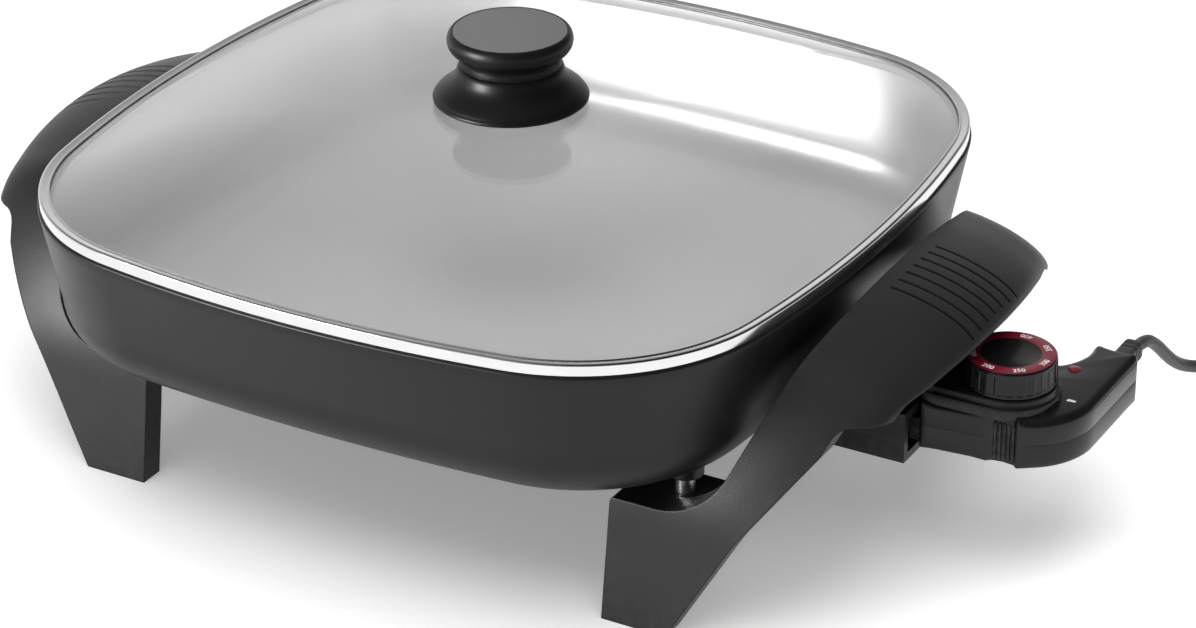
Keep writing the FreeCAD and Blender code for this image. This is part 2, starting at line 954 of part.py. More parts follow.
def control_outline(height):
    """The housing seen from above: a tapering front, a recessed grip, a round corner and a tail."""

    def spot(x, y):
        return Vector(x, y, height)

    def line(a, b):
        return Part.LineSegment(spot(*a), spot(*b)).toShape()

    def turn(x, start):
        """A quarter turn of tail_corner radius, from an angle in degrees."""
        points = []
        for part in (0, 45, 90):
            angle = math.radians(start + part)
            reach_x = tail_corner * math.cos(angle)
            reach_y = tail_corner * math.sin(angle)
            points.append(spot(x + reach_x, tail_end_y - tail_corner + reach_y))
        return Part.Arc(*points).toShape()

    grip_y = waist_half_y - grip_recess
    front_left = (control_front_x, -control_half_y)
    front_right = (control_front_x, control_half_y)
    corner_start = (grip_end_x, -cheek_half_y)
    corner_end = (side_x, side_y)
    edges = [
        line(front_left, (waist_x, -waist_half_y)),
        line((waist_x, -waist_half_y), (grip_start_x, -grip_y)),
        line((grip_start_x, -grip_y), (grip_end_x - 1, -grip_y)),
        line((grip_end_x - 1, -grip_y), corner_start),
        Part.Arc(spot(*corner_start), spot(corner_mid_x, -corner_mid_y), spot(*corner_end)).toShape(),
        line(corner_end, (side_x, tail_end_y - tail_corner)),
        turn(side_x - tail_corner, 0),
        line((side_x - tail_corner, tail_end_y), (tail_inner_x + tail_corner, tail_end_y)),
        turn(tail_inner_x + tail_corner, 90),
        line((tail_inner_x, tail_end_y - tail_corner), (tail_inner_x, bay_start_y)),
        Part.Arc(
            spot(tail_inner_x, bay_start_y), spot(bay_mid_x, bay_mid_y), spot(bay_end_x, bay_end_y)
        ).toShape(),
        line((bay_end_x, bay_end_y), (waist_x, waist_half_y)),
        line((waist_x, waist_half_y), front_right),
        line(front_right, front_left),
    ]
    return Part.Wire(edges)


def control_prism(low, high, inset=0.0):
    """The housing's outline, drawn in by inset, extruded between two heights."""
    wire = control_outline(low)
    if inset:
        wire = wire.makeOffset2D(-inset)
    return Part.Face(wire).extrude(Vector(0, 0, high - low))


def deck_prism(low, high, inset=0.0):
    """The raised deck under the dial: straight towards the pan and round behind the dial."""
    radius = deck_radius - inset
    straight = box(control_front_x + inset, dial_x, -radius, radius, low, high)
    return straight.fuse(rod(radius, (dial_x, 0, low), (dial_x, 0, high)))


def housing_posts(low, front_high, tail_high, radius):
    """Upright bars at the three housing screws; the two at the front may be taller."""
    places = [
        (front_post_x, -front_post_y, front_high),
        (front_post_x, front_post_y, front_high),
        (tail_post_x, tail_post_y, tail_high),
    ]
    return [rod(radius, (x, y, low), (x, y, high)) for x, y, high in places]


nose_bottom = element_height - nose_half_z
nose_top = element_height + nose_half_z
nose = box(nose_start_x, nose_end_x, -nose_half_y, nose_half_y, nose_bottom, nose_top)
roof = control_top - control_wall
guard_left = guard_x - guard_half_x
guard_right = guard_x + guard_half_x
flange_end_y = tail_end_y - control_wall
flange_start_y = flange_end_y - guard_flange_length
guard = box(guard_left, guard_right, tail_end_y, guard_end_y, guard_bottom, guard_top)
guard = guard.fuse(box(guard_left, guard_right, flange_end_y, tail_end_y, guard_bottom, roof))
guard = guard.fuse(
    box(
        guard_left - guard_flange,
        guard_right + guard_flange,
        flange_start_y,
        flange_end_y,
        guard_bottom - guard_flange,
        roof,
    )
)
lens_bottom = roof - lens_foot
lens = rod(lens_radius, (lens_x, lens_y, lens_bottom), (lens_x, lens_y, control_top))
lens_dome_radius = (lens_radius**2 + lens_rise**2) / (2 * lens_rise)
lens_centre = Vector(lens_x, lens_y, control_top + lens_rise - lens_dome_radius)
lens_cap = Part.makeSphere(lens_dome_radius, lens_centre)
lens_room = rod(lens_radius, (lens_x, lens_y, control_top), (lens_x, lens_y, control_top + lens_rise))
lens = lens.fuse(lens_cap.common(lens_room))

screw_seat = control_bottom + housing_screw_head
screw_top = control_split + housing_screw_bite
screw_heads = housing_posts(control_bottom, screw_seat, screw_seat, housing_screw_head_radius)
screw_shanks = housing_posts(control_bottom, screw_top, screw_top, housing_screw_radius)
housing_screws = []
for head, shank in zip(screw_heads, screw_shanks):
    housing_screws.append(head.fuse(shank))

lower = control_prism(control_bottom, control_split)
lower = lower.cut(control_prism(control_bottom + control_wall, control_split + 1, control_wall))
lower = lower.fuse(housing_posts(control_bottom, control_split, control_split, housing_post_radius))
upper = control_prism(control_split, control_top)
upper = upper.fuse(deck_prism(control_top, deck_top))
upper = upper.cut(control_prism(control_split - 1, roof, control_wall))
upper = upper.cut(deck_prism(roof - 1, deck_top - control_wall, control_wall))
deck_roof = deck_top - control_wall
upper = upper.fuse(housing_posts(control_split, deck_roof, roof, housing_post_radius))
shaft_hole_radius = shaft_radius + shaft_clearance
upper = upper.cut(rod(shaft_hole_radius, (dial_x, 0, roof - 5), (dial_x, 0, deck_top + 1)))
for shell_cut in [nose, guard, lens, group(housing_screws)]:
    upper = upper.cut(shell_cut)
    lower = lower.cut(shell_cut)

rib_room = grip_end_x - 1 - grip_start_x
rib_y = grip_recess - waist_half_y
for number in range(finger_rib_count):
    x = grip_start_x + rib_room * (number + 0.5) / finger_rib_count
    rib_bottom = (x, rib_y, control_bottom + finger_rib_end)
    rib_split = (x, rib_y, control_split)
    rib_top = (x, rib_y, control_top - finger_rib_end)
    lower = lower.fuse(rod(finger_rib_radius, rib_bottom, rib_split))
    upper = upper.fuse(rod(finger_rib_radius, rib_split, rib_top))
save_beside("control_lower_shell", lower)
save_beside("control_upper_shell", upper)
save_beside("housing_screws", group(housing_screws))
save_beside("cord_guard", guard)
save_beside("indicator_lens", lens)

lamp_top = (lens_x, lens_y, lens_bottom)
save_beside("neon_lamp", rod(lamp_radius, (lens_x, lens_y, lens_bottom - lamp_length), lamp_top))

sensor_start = (sensor_start_x + sensor_radius, 0, element_height)
sensor = rod(sensor_radius, sensor_start, (sensor_end_x, 0, element_height))
sensor = sensor.fuse(Part.makeSphere(sensor_radius, Vector(*sensor_start)))
save_beside("sensor_probe", sensor)
clips = []
clip_inner = pin_radius + clip_gap
clip_outer = clip_inner + clip_wall
nose = nose.cut(sensor)
for y in (-pin_y, pin_y):
    start = (nose_start_x, y, element_height)
    end = (socket_end_x, y, element_height)
    clip = rod(clip_outer, start, end)
    nose = nose.cut(clip)
    clips.append(clip.cut(rod(clip_inner, start, end)))
save_beside("control_nose", nose)
save_beside("terminal_clips", group(clips))

pillar = box(
    sensor_end_x,
    sensor_end_x + stack_length,
    -stack_half_y,
    stack_half_y,
    control_bottom + control_wall,
    upper_leaf_height + stack_cap,
)
leaves = []
for height in (lower_leaf_height, upper_leaf_height):
    leaves.append(
        box(sensor_end_x, leaf_end_x, -leaf_half_y, leaf_half_y, height - leaf_thickness, height)
    )
for leaf in leaves:
    pillar = pillar.cut(leaf)
save_beside("thermostat_block", pillar)
save_beside("contact_leaf_lower", leaves[0])
save_beside("contact_leaf_upper", leaves[1])
upper_underside = upper_leaf_height - leaf_thickness
contacts = []
for low in (lower_leaf_height, upper_underside - contact_height):
    contacts.append(rod(contact_radius, (contact_x, 0, low), (contact_x, 0, low + contact_height)))
save_beside("contact_points", group(contacts))


# Dial

dial = rod(dial_radius, (dial_x, 0, dial_bottom), (dial_x, 0, dial_top))
dial_rim = [e for e in dial.Edges if abs(e.BoundBox.ZMin - dial_top) < 1e-6]
dial = dial.makeFillet(dial_edge, [e for e in dial_rim if len(e.Vertexes) == 1])
dial = dial.cut(
    rod(dial_radius - dial_skirt, (dial_x, 0, dial_bottom), (dial_x, 0, dial_top - dial_skirt))
)
collar_top = (dial_x, 0, dial_top - dial_skirt)
dial = dial.fuse(rod(shaft_radius + shaft_collar, (dial_x, 0, dial_bottom), collar_top))
ring_bottom = dial_top - dial_ring_thickness
ring = rod(dial_ring_outer, (dial_x, 0, ring_bottom), (dial_x, 0, dial_top))
ring = ring.cut(rod(dial_ring_inner, (dial_x, 0, ring_bottom), (dial_x, 0, dial_top)))
shaft = rod(shaft_radius, (dial_x, 0, shaft_bottom), (dial_x, 0, dial_top - dial_skirt))
save_beside("dial", dial.cut(ring).cut(shaft))
save_beside("dial_ring", ring)
save_beside("dial_shaft", shaft)


# Cord, coil and plug

cord_route = [
    (guard_x, guard_end_y, cord_exit_height),
    (guard_x, guard_end_y + cord_exit_run, cord_exit_height),
    (75.4, 79.0, 55.2),
    (76.6, 86.5, 47.7),
    (77.8, 93.6, 41.4),
    (79.8, 100.2, 37.2),
    (83.5, 107.4, 34.4),
    (89.9, 115.6, 30.6),
    (97.5, 126.4, 24.0),
    (104.9, 140.4, 15.0),
    (110.5, 156.6, 7.0),
    (113.3, 174.4, coil_first_height),
    (113.7, 190.0, coil_first_height),
]
bend_share = 0.45


def smooth_route(points):
    """Straight runs joined by tangent arcs, each as large as its shorter run allows."""
    spots = [Vector(*p) for p in points]
    radii = []
    for before, here, after in zip(spots, spots[1:], spots[2:]):
        turn = (here - before).getAngle(after - here)
        shorter = min((here - before).Length, (after - here).Length)
        radii.append(bend_share * shorter / math.tan(turn / 2))
    return rounded_path(points, radii), radii


def arc_from(start, tangent, end):
    """The arc that leaves start along tangent and reaches end."""
    chord = end - start
    angle = tangent.getAngle(chord)
    if angle < 1e-6:
        return Part.LineSegment(start, end).toShape()
    along = Vector(chord).normalize()
    side = (tangent - along * tangent.dot(along)).normalize()
    middle = (start + end) * 0.5 + side * (chord.Length / 2 * math.tan(angle / 2))
    return Part.Arc(start, middle, end).toShape()


def biarc(p0, t0, p1, t1):
    """Two arcs that join two points with given directions, smoothly."""
    chord = p1 - p0
    total = t0 + t1
    spread = 2 * (1 - t0.dot(t1))
    lean = chord.dot(total)
    reach = (-lean + math.sqrt(lean**2 + spread * chord.dot(chord))) / spread
    meet = (p0 + p1 + (t0 - t1) * reach) * 0.5
    return [arc_from(p0, t0, meet), arc_from(p1, t1 * -1, meet)]


coil_entry = Vector(*cord_route[-1])
entry_lead = 2 * cord_radius
coil_start = coil_entry + Vector(0, entry_lead, 0)
coil_centre = coil_start + Vector(coil_outer_radius, 0, 0)


def coil_point(turn):
    """Clockwise loops that spiral in on the lower layer, climb a layer and spiral out again."""
    middle = coil_turns / 2
    radius = coil_outer_radius - coil_pitch * (middle - abs(turn - middle))
    climb = min(1.0, max(0.0, (turn - middle + 0.25) / 0.5))
    height = coil_layer * (1 - math.cos(math.pi * climb)) / 2
    angle = math.pi * (1 - 2 * turn)
    return coil_centre + Vector(radius * math.cos(angle), radius * math.sin(angle), height)


def coil_direction(turn):
    step = 1e-4
    if turn in (0, coil_turns):
        angle = math.pi * (1 - 2 * turn)
        return Vector(math.sin(angle), -math.cos(angle), 0)
    return (coil_point(turn + step) - coil_point(turn - step)).normalize()


coil_edges = [Part.LineSegment(coil_entry, coil_start).toShape()]
quarters = int(coil_turns * 4)
for number in range(quarters):
    a = number / 4
    b = (number + 1) / 4
    coil_edges += biarc(coil_point(a), coil_direction(a), coil_point(b), coil_direction(b))
coil_end = coil_point(coil_turns)
coil_leave = coil_direction(coil_turns)
plug_face = coil_end + coil_leave * plug_lead
coil_edges.append(Part.LineSegment(coil_end, plug_face).toShape())
coil_path = Part.Wire(Part.sortEdges(coil_edges)[0])

free_path, free_radii = smooth_route(cord_route)
cord = tube(free_path, cord_radius, cord_route[0], (0, 1, 0))
coil = tube(coil_path, cord_radius, tuple(coil_entry), (0, 1, 0))
save_beside("cord", cord)
save_beside("cord_coil", coil)

section = math.pi * cord_radius**2
print("cord bend radii, mm:", [round(r, 1) for r in free_radii])
for name, solid, path in (("free cord", cord, free_path), ("coil", coil, coil_path)):
    print(name, "volume", round(solid.Volume, 1), "section x length", round(section * path.Length, 1))
samples = coil_path.discretize(Distance=2.0)
apart = int(4 * coil_outer_radius / 2.0 / 2)
least = min(
    (samples[i] - samples[j]).Length
    for i in range(len(samples))
    for j in range(i + apart, len(samples))
)
print("coil: least gap to itself, mm:", round(least - 2 * cord_radius, 2))
total = free_path.Length + coil_path.Length
print("cord length in all, mm:", round(total, 1), "free", round(free_path.Length, 1))

plug_back = plug_face.y
body_start = plug_back - plug_neck_length
body_end = body_start - plug_length
plug_x = plug_face.x
neck = box(
    plug_x - plug_neck_half,
    plug_x + plug_neck_half,
    body_start,
    plug_back,
    plug_height - plug_neck_half,
    plug_height + plug_neck_half,
)
plug = neck.fuse(
    box(
        plug_x - plug_half_x,
        plug_x + plug_half_x,
        body_end,
        body_start,
        plug_height - plug_half_z,
        plug_height + plug_half_z,
    )
)
blades = []
for side in (-1, 1):
    x = plug_x + side * blade_spacing / 2
    blade = box(
        x - blade_thickness / 2,
        x + blade_thickness / 2,
        body_end - blade_length,
        body_end + blade_root,
        plug_height - blade_width / 2,
        plug_height + blade_width / 2,
    )
    hole_y = body_end - blade_length + blade_hole_back
    hole = rod(blade_hole_radius, (x - 5, hole_y, plug_height), (x + 5, hole_y, plug_height))
    blades.append(blade.cut(hole))
save_beside("plug", plug.cut(group(blades)))
save_beside("plug_blades", group(blades))
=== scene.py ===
"""Dresses a packed electric skillet: its pan, brackets, lid, knob, heat control, dial and cord."""

import math

import bpy
import numpy as np
from mathutils import Matrix, Vector


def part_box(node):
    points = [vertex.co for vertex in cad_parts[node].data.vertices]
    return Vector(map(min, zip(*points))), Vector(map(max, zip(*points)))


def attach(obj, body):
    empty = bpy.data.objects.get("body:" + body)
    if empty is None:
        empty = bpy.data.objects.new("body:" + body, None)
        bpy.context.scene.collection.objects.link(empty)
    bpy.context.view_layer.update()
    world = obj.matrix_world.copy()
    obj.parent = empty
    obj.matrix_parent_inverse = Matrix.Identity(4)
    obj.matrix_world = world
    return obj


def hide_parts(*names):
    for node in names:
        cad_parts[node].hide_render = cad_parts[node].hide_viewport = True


bl_info = {
    "name": "Electric skillet",
    "version": (1, 0, 0),
    "blender": (4, 5, 0),
    "location": "3D View > Sidebar > Skillet",
    "description": "Dresses a packed electric skillet with finished surfaces and materials",
    "category": "Object",
}

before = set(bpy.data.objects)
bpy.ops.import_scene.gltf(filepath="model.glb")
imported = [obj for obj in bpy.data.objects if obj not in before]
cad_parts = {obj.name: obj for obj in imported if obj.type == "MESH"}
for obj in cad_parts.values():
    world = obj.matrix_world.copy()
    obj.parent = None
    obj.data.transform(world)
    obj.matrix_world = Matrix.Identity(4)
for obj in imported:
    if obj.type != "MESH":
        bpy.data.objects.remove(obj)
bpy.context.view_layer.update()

MM = 0.001

# The model's origin lies under the middle of the overall length; the pan's centre is beside it.
band_low, band_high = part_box("lid_band")
PAN_X = (band_low.x + band_high.x) / 2
PAN_CENTRE = np.array([PAN_X, 0.0, 0.0])

# Lengths that more than one piece uses, in millimetres.
LID_SIDE = 514.0
LID_CORNER = 77.5
RIM_STEP = 0.7
FOOT_HALF = 143.5
FOOT_SIDE = 892.0
FOOT_CORNER = 69.0
BOTTOM_ROUNDING = 19.0
LIP_ROUNDING = 1.1
FLANGE_TOP = 116.4
FLANGE_UNDER = 113.0
SEAM = 56.5
DIAL_X = 203.6

OUTLINE_STEPS = 40
WELD = 2e-6


# Outlines: closed rows of points with their outward normals, in millimetres round the pan's
# centre, so that every inset of one outline has matching points.


def bowed_square(half, side_radius, corner_radius, steps=24):
    """Points and outward normals of a square with bowed sides and round corners.

    Each side is an arc of side_radius about a point on the axis, each corner an arc of
    corner_radius about a point on the diagonal, and they meet where their centres line up.
    """
    side_centre = half - side_radius
    reach = side_radius - corner_radius
    corner_centre = (side_centre + math.sqrt(2 * reach**2 - side_centre**2)) / 2
    turn = math.atan2(corner_centre, corner_centre - side_centre)
    share = np.arange(steps) / steps
    side_angle = -turn + 2 * turn * share
    corner_angle = turn + (math.pi / 2 - 2 * turn) * share
    angle = np.concatenate([side_angle, corner_angle])
    centre = np.concatenate([np.tile([side_centre, 0.0], (steps, 1)), np.full((steps, 2), corner_centre)])
    radius = np.concatenate([np.full(steps, side_radius), np.full(steps, corner_radius)])
    normal = np.stack([np.cos(angle), np.sin(angle)], axis=1)
    point = centre + normal * radius[:, None]
    points = []
    normals = []
    for quarter in range(4):
        c = math.cos(quarter * math.pi / 2)
        s = math.sin(quarter * math.pi / 2)
        spin = np.array([[c, s], [-s, c]])
        points.append(point @ spin)
        normals.append(normal @ spin)
    return np.concatenate(points), np.concatenate(normals)


def arc_through(a, b, c, steps):
    """Points on the circle through a, b and c, from a to c with b between them."""
    a, b, c = (np.asarray(p, float) for p in (a, b, c))
    rows = 2 * np.array([b - a, c - a])
    centre = np.linalg.solve(rows, np.array([b @ b - a @ a, c @ c - a @ a]))
    start, middle, end = (math.atan2(*(p - centre)[::-1]) for p in (a, b, c))
    sweep = (end - start) % (2 * math.pi)
    if (middle - start) % (2 * math.pi) > sweep:
        sweep -= 2 * math.pi
    angle = start + sweep * np.linspace(0, 1, steps)
    radius = np.linalg.norm(a - centre)
    return centre + radius * np.stack([np.cos(angle), np.sin(angle)], axis=1)


def rounded(before, here, after, radius, steps):
    """The corner at here as an arc that touches both runs, or the point alone where it is straight or sharp.

    The arc starts radius x tan(turn / 2) before the corner and ends as far after it.
    """
    before, here, after = (np.asarray(point, float) for point in (before, here, after))
    arrive = (here - before) / np.linalg.norm(here - before)
    leave = (after - here) / np.linalg.norm(after - here)
    turn = math.acos(max(-1.0, min(1.0, float(arrive @ leave))))
    if radius <= 0 or turn < 0.02:
        return here[None, :]
    cut = radius * math.tan(turn / 2)
    inward = (leave - arrive) / np.linalg.norm(leave - arrive)
    middle = here + inward * (radius / math.cos(turn / 2) - radius)
    return arc_through(here - arrive * cut, middle, here + leave * cut, steps)


def soft_corners(corners, steps=6):
    """A closed row of points through (x, y, radius) corners, each rounded by its own arc."""
    flat = [corner[:2] for corner in corners]
    following = flat[1:] + flat[:1]
    rows = [rounded(flat[i - 1], flat[i], following[i], corners[i][2], steps) for i in range(len(corners))]
    return np.concatenate(rows)


def eased(profile, steps=6):
    """An open row of (a, b) pairs through (a, b, radius) corners, each rounded by its own arc."""
    flat = [corner[:2] for corner in profile]
    rows = [np.array(flat[:1], float)]
    for i in range(1, len(profile) - 1):
        rows.append(rounded(flat[i - 1], flat[i], flat[i + 1], profile[i][2], steps))
    rows.append(np.array(flat[-1:], float))
    return np.concatenate(rows)


def soft_path(points, radii, height, steps=9):
    """Straight runs joined by arcs of the radii given, all at one height."""
    rows = [np.array(points[:1], float)]
    for i, radius in enumerate(radii, 1):
        rows.append(rounded(points[i - 1], points[i], points[i + 1], radius, steps))
    rows.append(np.array(points[-1:], float))
    flat = np.concatenate(rows)
    return np.column_stack([flat, np.full(len(flat), float(height))])


def refine(points, spacing):
    """The same closed row with points added along its long runs, none further apart than spacing."""
    following = np.roll(points, -1, axis=0)
    parts = np.maximum(1, np.ceil(np.linalg.norm(following - points, axis=1) / spacing)).astype(int)
    index = np.repeat(np.arange(len(points)), parts)
    share = (np.arange(parts.sum()) - np.repeat(np.cumsum(parts) - parts, parts)) / parts[index]
    return points[index] * (1 - share[:, None]) + following[index] * share[:, None]


def outward(points):
    """Outward normals of a closed row of points that runs anticlockwise."""
    along = np.roll(points, -1, axis=0) - points
    along = along / np.linalg.norm(along, axis=1)[:, None]
    both = along + np.roll(along, 1, axis=0)
    both = both / np.linalg.norm(both, axis=1)[:, None]
    return np.stack([both[:, 1], -both[:, 0]], axis=1)


def with_normals(points):
    """An outline from an anticlockwise row of points: the points with their outward normals."""
    return points, outward(points)


def rim_outline(rim_half):
    """The pan's rim seen from above: the lid's outline a small step further out."""
    return bowed_square(rim_half, LID_SIDE + RIM_STEP, LID_CORNER + RIM_STEP, OUTLINE_STEPS)


# Surfaces: each function gives (points, faces), with points in millimetres round the pan's
# centre and faces as an array of quads or a list of arrays.


def rows_to_faces(rows, columns, close_rows=False, close_columns=True, start=0):
    """Quads over a grid of points, joined round where a direction is closed."""
    row = np.arange(rows if close_rows else rows - 1)
    column = np.arange(columns if close_columns else columns - 1)
    r, c = np.meshgrid(row, column, indexing="ij")
    up = (r + 1) % rows
    right = (c + 1) % columns
    quads = np.stack([r * columns + c, r * columns + right, up * columns + right, up * columns + c], axis=-1)
    return quads.reshape(-1, 4) + start


def skin(grid, close_rows=False, close_columns=True, cap_first=False, cap_last=False):
    """A surface over grid[row, column]; a cap closes the first or last row with a fan to its middle."""
    rows, columns, _ = grid.shape
    points = grid.reshape(-1, 3)
    faces = [rows_to_faces(rows, columns, close_rows, close_columns)]
    ring = np.arange(columns)
    following = (ring + 1) % columns
    if cap_first:
        centre = grid[0].mean(axis=0)[None, :]
        faces.append(np.stack([following, ring, np.full(columns, len(points))], axis=1))
        points = np.concatenate([points, centre])
    if cap_last:
        centre = grid[-1].mean(axis=0)[None, :]
        base = (rows - 1) * columns
        faces.append(np.stack([base + ring, base + following, np.full(columns, len(points))], axis=1))
        points = np.concatenate([points, centre])
    return points, faces


def drawn_in(outline, profile, share=1.0):
    """A grid over (inset, height) pairs carried round an outline: point = outline - share x inset x normal."""
    points, normals = outline
    profile = np.asarray(profile, float)
    inset = profile[:, 0, None] * np.broadcast_to(share, len(points))[None, :]
    flat = points[None, :, :] - inset[:, :, None] * normals[None, :, :]
    height = np.broadcast_to(profile[:, 1, None, None], flat.shape[:2] + (1,))
    return np.concatenate([flat, height], axis=2)


def slab(outline, profile, share=1.0):
    """A solid plate: the profile runs from its bottom edge to its top, and one flat face closes each end."""
    grid = drawn_in(outline, profile, share)
    rows, columns, _ = grid.shape
    bottom = np.arange(columns)[::-1][None, :]
    top = (rows - 1) * columns + np.arange(columns)[None, :]
    return grid.reshape(-1, 3), [rows_to_faces(rows, columns), bottom, top]


def turned(profile, centre=(0.0, 0.0), segments=96, close=False):
    """A profile of (radius, height) pairs turned about an upright axis.

    x = centre + radius x cos(angle), y = centre + radius x sin(angle); an end on the axis is
    closed by a fan.
    """
    profile = np.asarray(profile, float)
    first = profile[0, 0] < 1e-6
    last = profile[-1, 0] < 1e-6
    body = profile[(1 if first else 0) : (len(profile) - 1 if last else len(profile))]
    angle = np.arange(segments) * 2 * math.pi / segments
    x = centre[0] + body[:, 0, None] * np.cos(angle)[None, :]
    y = centre[1] + body[:, 0, None] * np.sin(angle)[None, :]
    z = np.broadcast_to(body[:, 1, None], x.shape)
    points, faces = skin(np.stack([x, y, z], axis=2), close, True, first, last)
    if first:
        points[len(body) * segments, 2] = profile[0, 1]
    if last:
        points[-1, 2] = profile[-1, 1]
    return points, faces


def along_path(path, section):
    """A closed section of (side, up) pairs carried along a row of points, kept upright, with its ends closed."""
    path = np.asarray(path, float)
    section = np.asarray(section, float)
    along = np.gradient(path, axis=0)
    along = along / np.linalg.norm(along, axis=1)[:, None]
    side = np.cross(along, np.array([0.0, 0.0, 1.0]))
    side = side / np.linalg.norm(side, axis=1)[:, None]
    up = np.cross(side, along)
    grid = (
        path[:, None, :]
        + section[None, :, 0, None] * side[:, None, :]
        + section[None, :, 1, None] * up[:, None, :]
    )
    return skin(grid, cap_first=True, cap_last=True)


def circle(radius, count=24):
    """Points at even angles: x = radius x cos(angle), y = radius x sin(angle)."""
    angle = np.arange(count) * 2 * math.pi / count
    return np.stack([radius * np.cos(angle), radius * np.sin(angle)], axis=1)


# Objects


def new_mesh(name, points, corners, sizes):
    """A mesh from points in metres, the corners of its faces in order and the corners of each face."""
    mesh = bpy.data.meshes.new(name)
    mesh.vertices.add(len(points))
    mesh.vertices.foreach_set("co", points.astype(np.float32).ravel())
    mesh.loops.add(len(corners))
    mesh.loops.foreach_set("vertex_index", corners.astype(np.int32))
    mesh.polygons.add(len(sizes))
    mesh.polygons.foreach_set("loop_start", (np.cumsum(sizes) - sizes).astype(np.int32))
    mesh.update(calc_edges=True)
    mesh.validate()
    return mesh


def mesh_arrays(mesh):
    """A mesh's points, the corners of its faces in order and the corners of each face."""
    points = np.zeros(len(mesh.vertices) * 3)
    corners = np.zeros(len(mesh.loops), np.int32)
    sizes = np.zeros(len(mesh.polygons), np.int32)
    mesh.vertices.foreach_get("co", points)
    mesh.loops.foreach_get("vertex_index", corners)
    mesh.polygons.foreach_get("loop_total", sizes)
    return points.reshape(-1, 3), corners, sizes


def piece(name, shapes, material, body, replaces=(), sharp=35.0):
    """One finished object from any number of (points, faces) shapes, in place and riding on its body."""
    points = []
    corners = []
    sizes = []
    start = 0
    for shape_points, shape_faces in shapes:
        points.append(shape_points)
        for block in shape_faces if isinstance(shape_faces, list) else [shape_faces]:
            corners.append((block + start).ravel())
            sizes.append(np.full(len(block), block.shape[1]))
        start += len(shape_points)
    placed = np.concatenate(points) * MM + PAN_CENTRE
    mesh = new_mesh(name, placed, np.concatenate(corners), np.concatenate(sizes))
    return finish_piece(name, mesh, material, body, replaces, sharp)


def finish_piece(name, mesh, material, body, replaces=(), sharp=35.0):
    """Shades a mesh smooth up to an angle, and hangs it on its body in place of its CAD nodes."""
    mesh.polygons.foreach_set("use_smooth", np.ones(len(mesh.polygons), bool))
    mesh.set_sharp_from_angle(angle=math.radians(sharp))
    mesh.materials.clear()
    mesh.materials.append(material)
    made = bpy.data.objects.new(name, mesh)
    bpy.context.scene.collection.objects.link(made)
    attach(made, body)
    if replaces:
        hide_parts(*replaces)
    return made


def recut(node, name, material, body, sharp=28.0, bevel=0.0):
    """A smoothly shaded copy of a CAD node with its doubled points merged, and its hard edges eased by bevel metres."""
    points, corners, _ = mesh_arrays(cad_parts[node].data)
    keys = np.round(points / WELD).astype(np.int64)
    _, first, inverse = np.unique(keys, axis=0, return_index=True, return_inverse=True)
    triangles = inverse.ravel()[corners].reshape(-1, 3)
    a, b, c = triangles.T
    triangles = triangles[(a != b) & (b != c) & (c != a)]
    welded = new_mesh(name, points[first], triangles.ravel(), np.full(len(triangles), 3))
    made = finish_piece(name, welded, material, body, (node,), sharp)
    if bevel:
        ease = made.modifiers.new("Eased edges", "BEVEL")
        ease.width = bevel
        ease.segments = 2
        ease.limit_method = "ANGLE"
        ease.angle_limit = math.radians(sharp)
        ease.harden_normals = True
    return made


def dress(nodes, material):
    """Gives CAD nodes that keep their own shape a finished material."""
    for name in nodes:
        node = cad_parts[name]
        node.data.materials.clear()
        node.data.materials.append(material)


# Node groups shared by the materials


def new_group(name, inputs, outputs):
    """An empty shader group with named sockets; each input is (name, kind, default)."""
    tree = bpy.data.node_groups.new(name, "ShaderNodeTree")
    for label, kind, default in inputs:
        made = tree.interface.new_socket(label, in_out="INPUT", socket_type=kind)
        if default is not None:
            made.default_value = default
    for label, kind in outputs:
        tree.interface.new_socket(label, in_out="OUTPUT", socket_type=kind)
    start = tree.nodes.new("NodeGroupInput")
    end = tree.nodes.new("NodeGroupOutput")
    return tree, start, end


def add(tree, kind, **values):
    """A node with its settings, and with inputs given by socket name or number."""
    node = tree.nodes.new(kind)
    for key, value in values.items():
        if key.startswith("in_"):
            node.inputs[key[3:].replace("_", " ")].default_value = value
        elif key.startswith("at_"):
            node.inputs[int(key[3:])].default_value = value
        else:
            setattr(node, key, value)
    return node


def wire(tree, *links):
    """Joins sockets; each link is (from node, output, to node, input)."""
    for giver, output, taker, entry in links:
        tree.links.new(giver.outputs[output], taker.inputs[entry])


def grain_group():
    """Moulded grain: fine noise for height, and slow noise for tone: tone = 1 + mottle x (noise - 0.5)."""
    if "Moulded grain" in bpy.data.node_groups:
        return bpy.data.node_groups["Moulded grain"]
    tree, start, end = new_group(
        "Moulded grain",
        [
            ("Vector", "NodeSocketVector", None),
            ("Grain size", "NodeSocketFloat", 1200.0),
            ("Mottle size", "NodeSocketFloat", 30.0),
            ("Mottle", "NodeSocketFloat", 0.08),
        ],
        [("Height", "NodeSocketFloat"), ("Tone", "NodeSocketFloat")],
    )
    fine = add(tree, "ShaderNodeTexNoise", in_Detail=3.0, in_Roughness=0.6)
    broad = add(tree, "ShaderNodeTexNoise", in_Detail=4.0, in_Roughness=0.55)
    centre = add(tree, "ShaderNodeMath", operation="SUBTRACT", at_1=0.5)
    scaled = add(tree, "ShaderNodeMath", operation="MULTIPLY")
    tone = add(tree, "ShaderNodeMath", operation="ADD", at_1=1.0)
    wire(
        tree,
        (start, "Vector", fine, "Vector"),
        (start, "Grain size", fine, "Scale"),
        (start, "Vector", broad, "Vector"),
        (start, "Mottle size", broad, "Scale"),
        (broad, "Fac", centre, 0),
        (centre, 0, scaled, 0),
        (start, "Mottle", scaled, 1),
        (scaled, 0, tone, 0),
        (fine, "Fac", end, "Height"),
        (tone, 0, end, "Tone"),
    )
    return tree


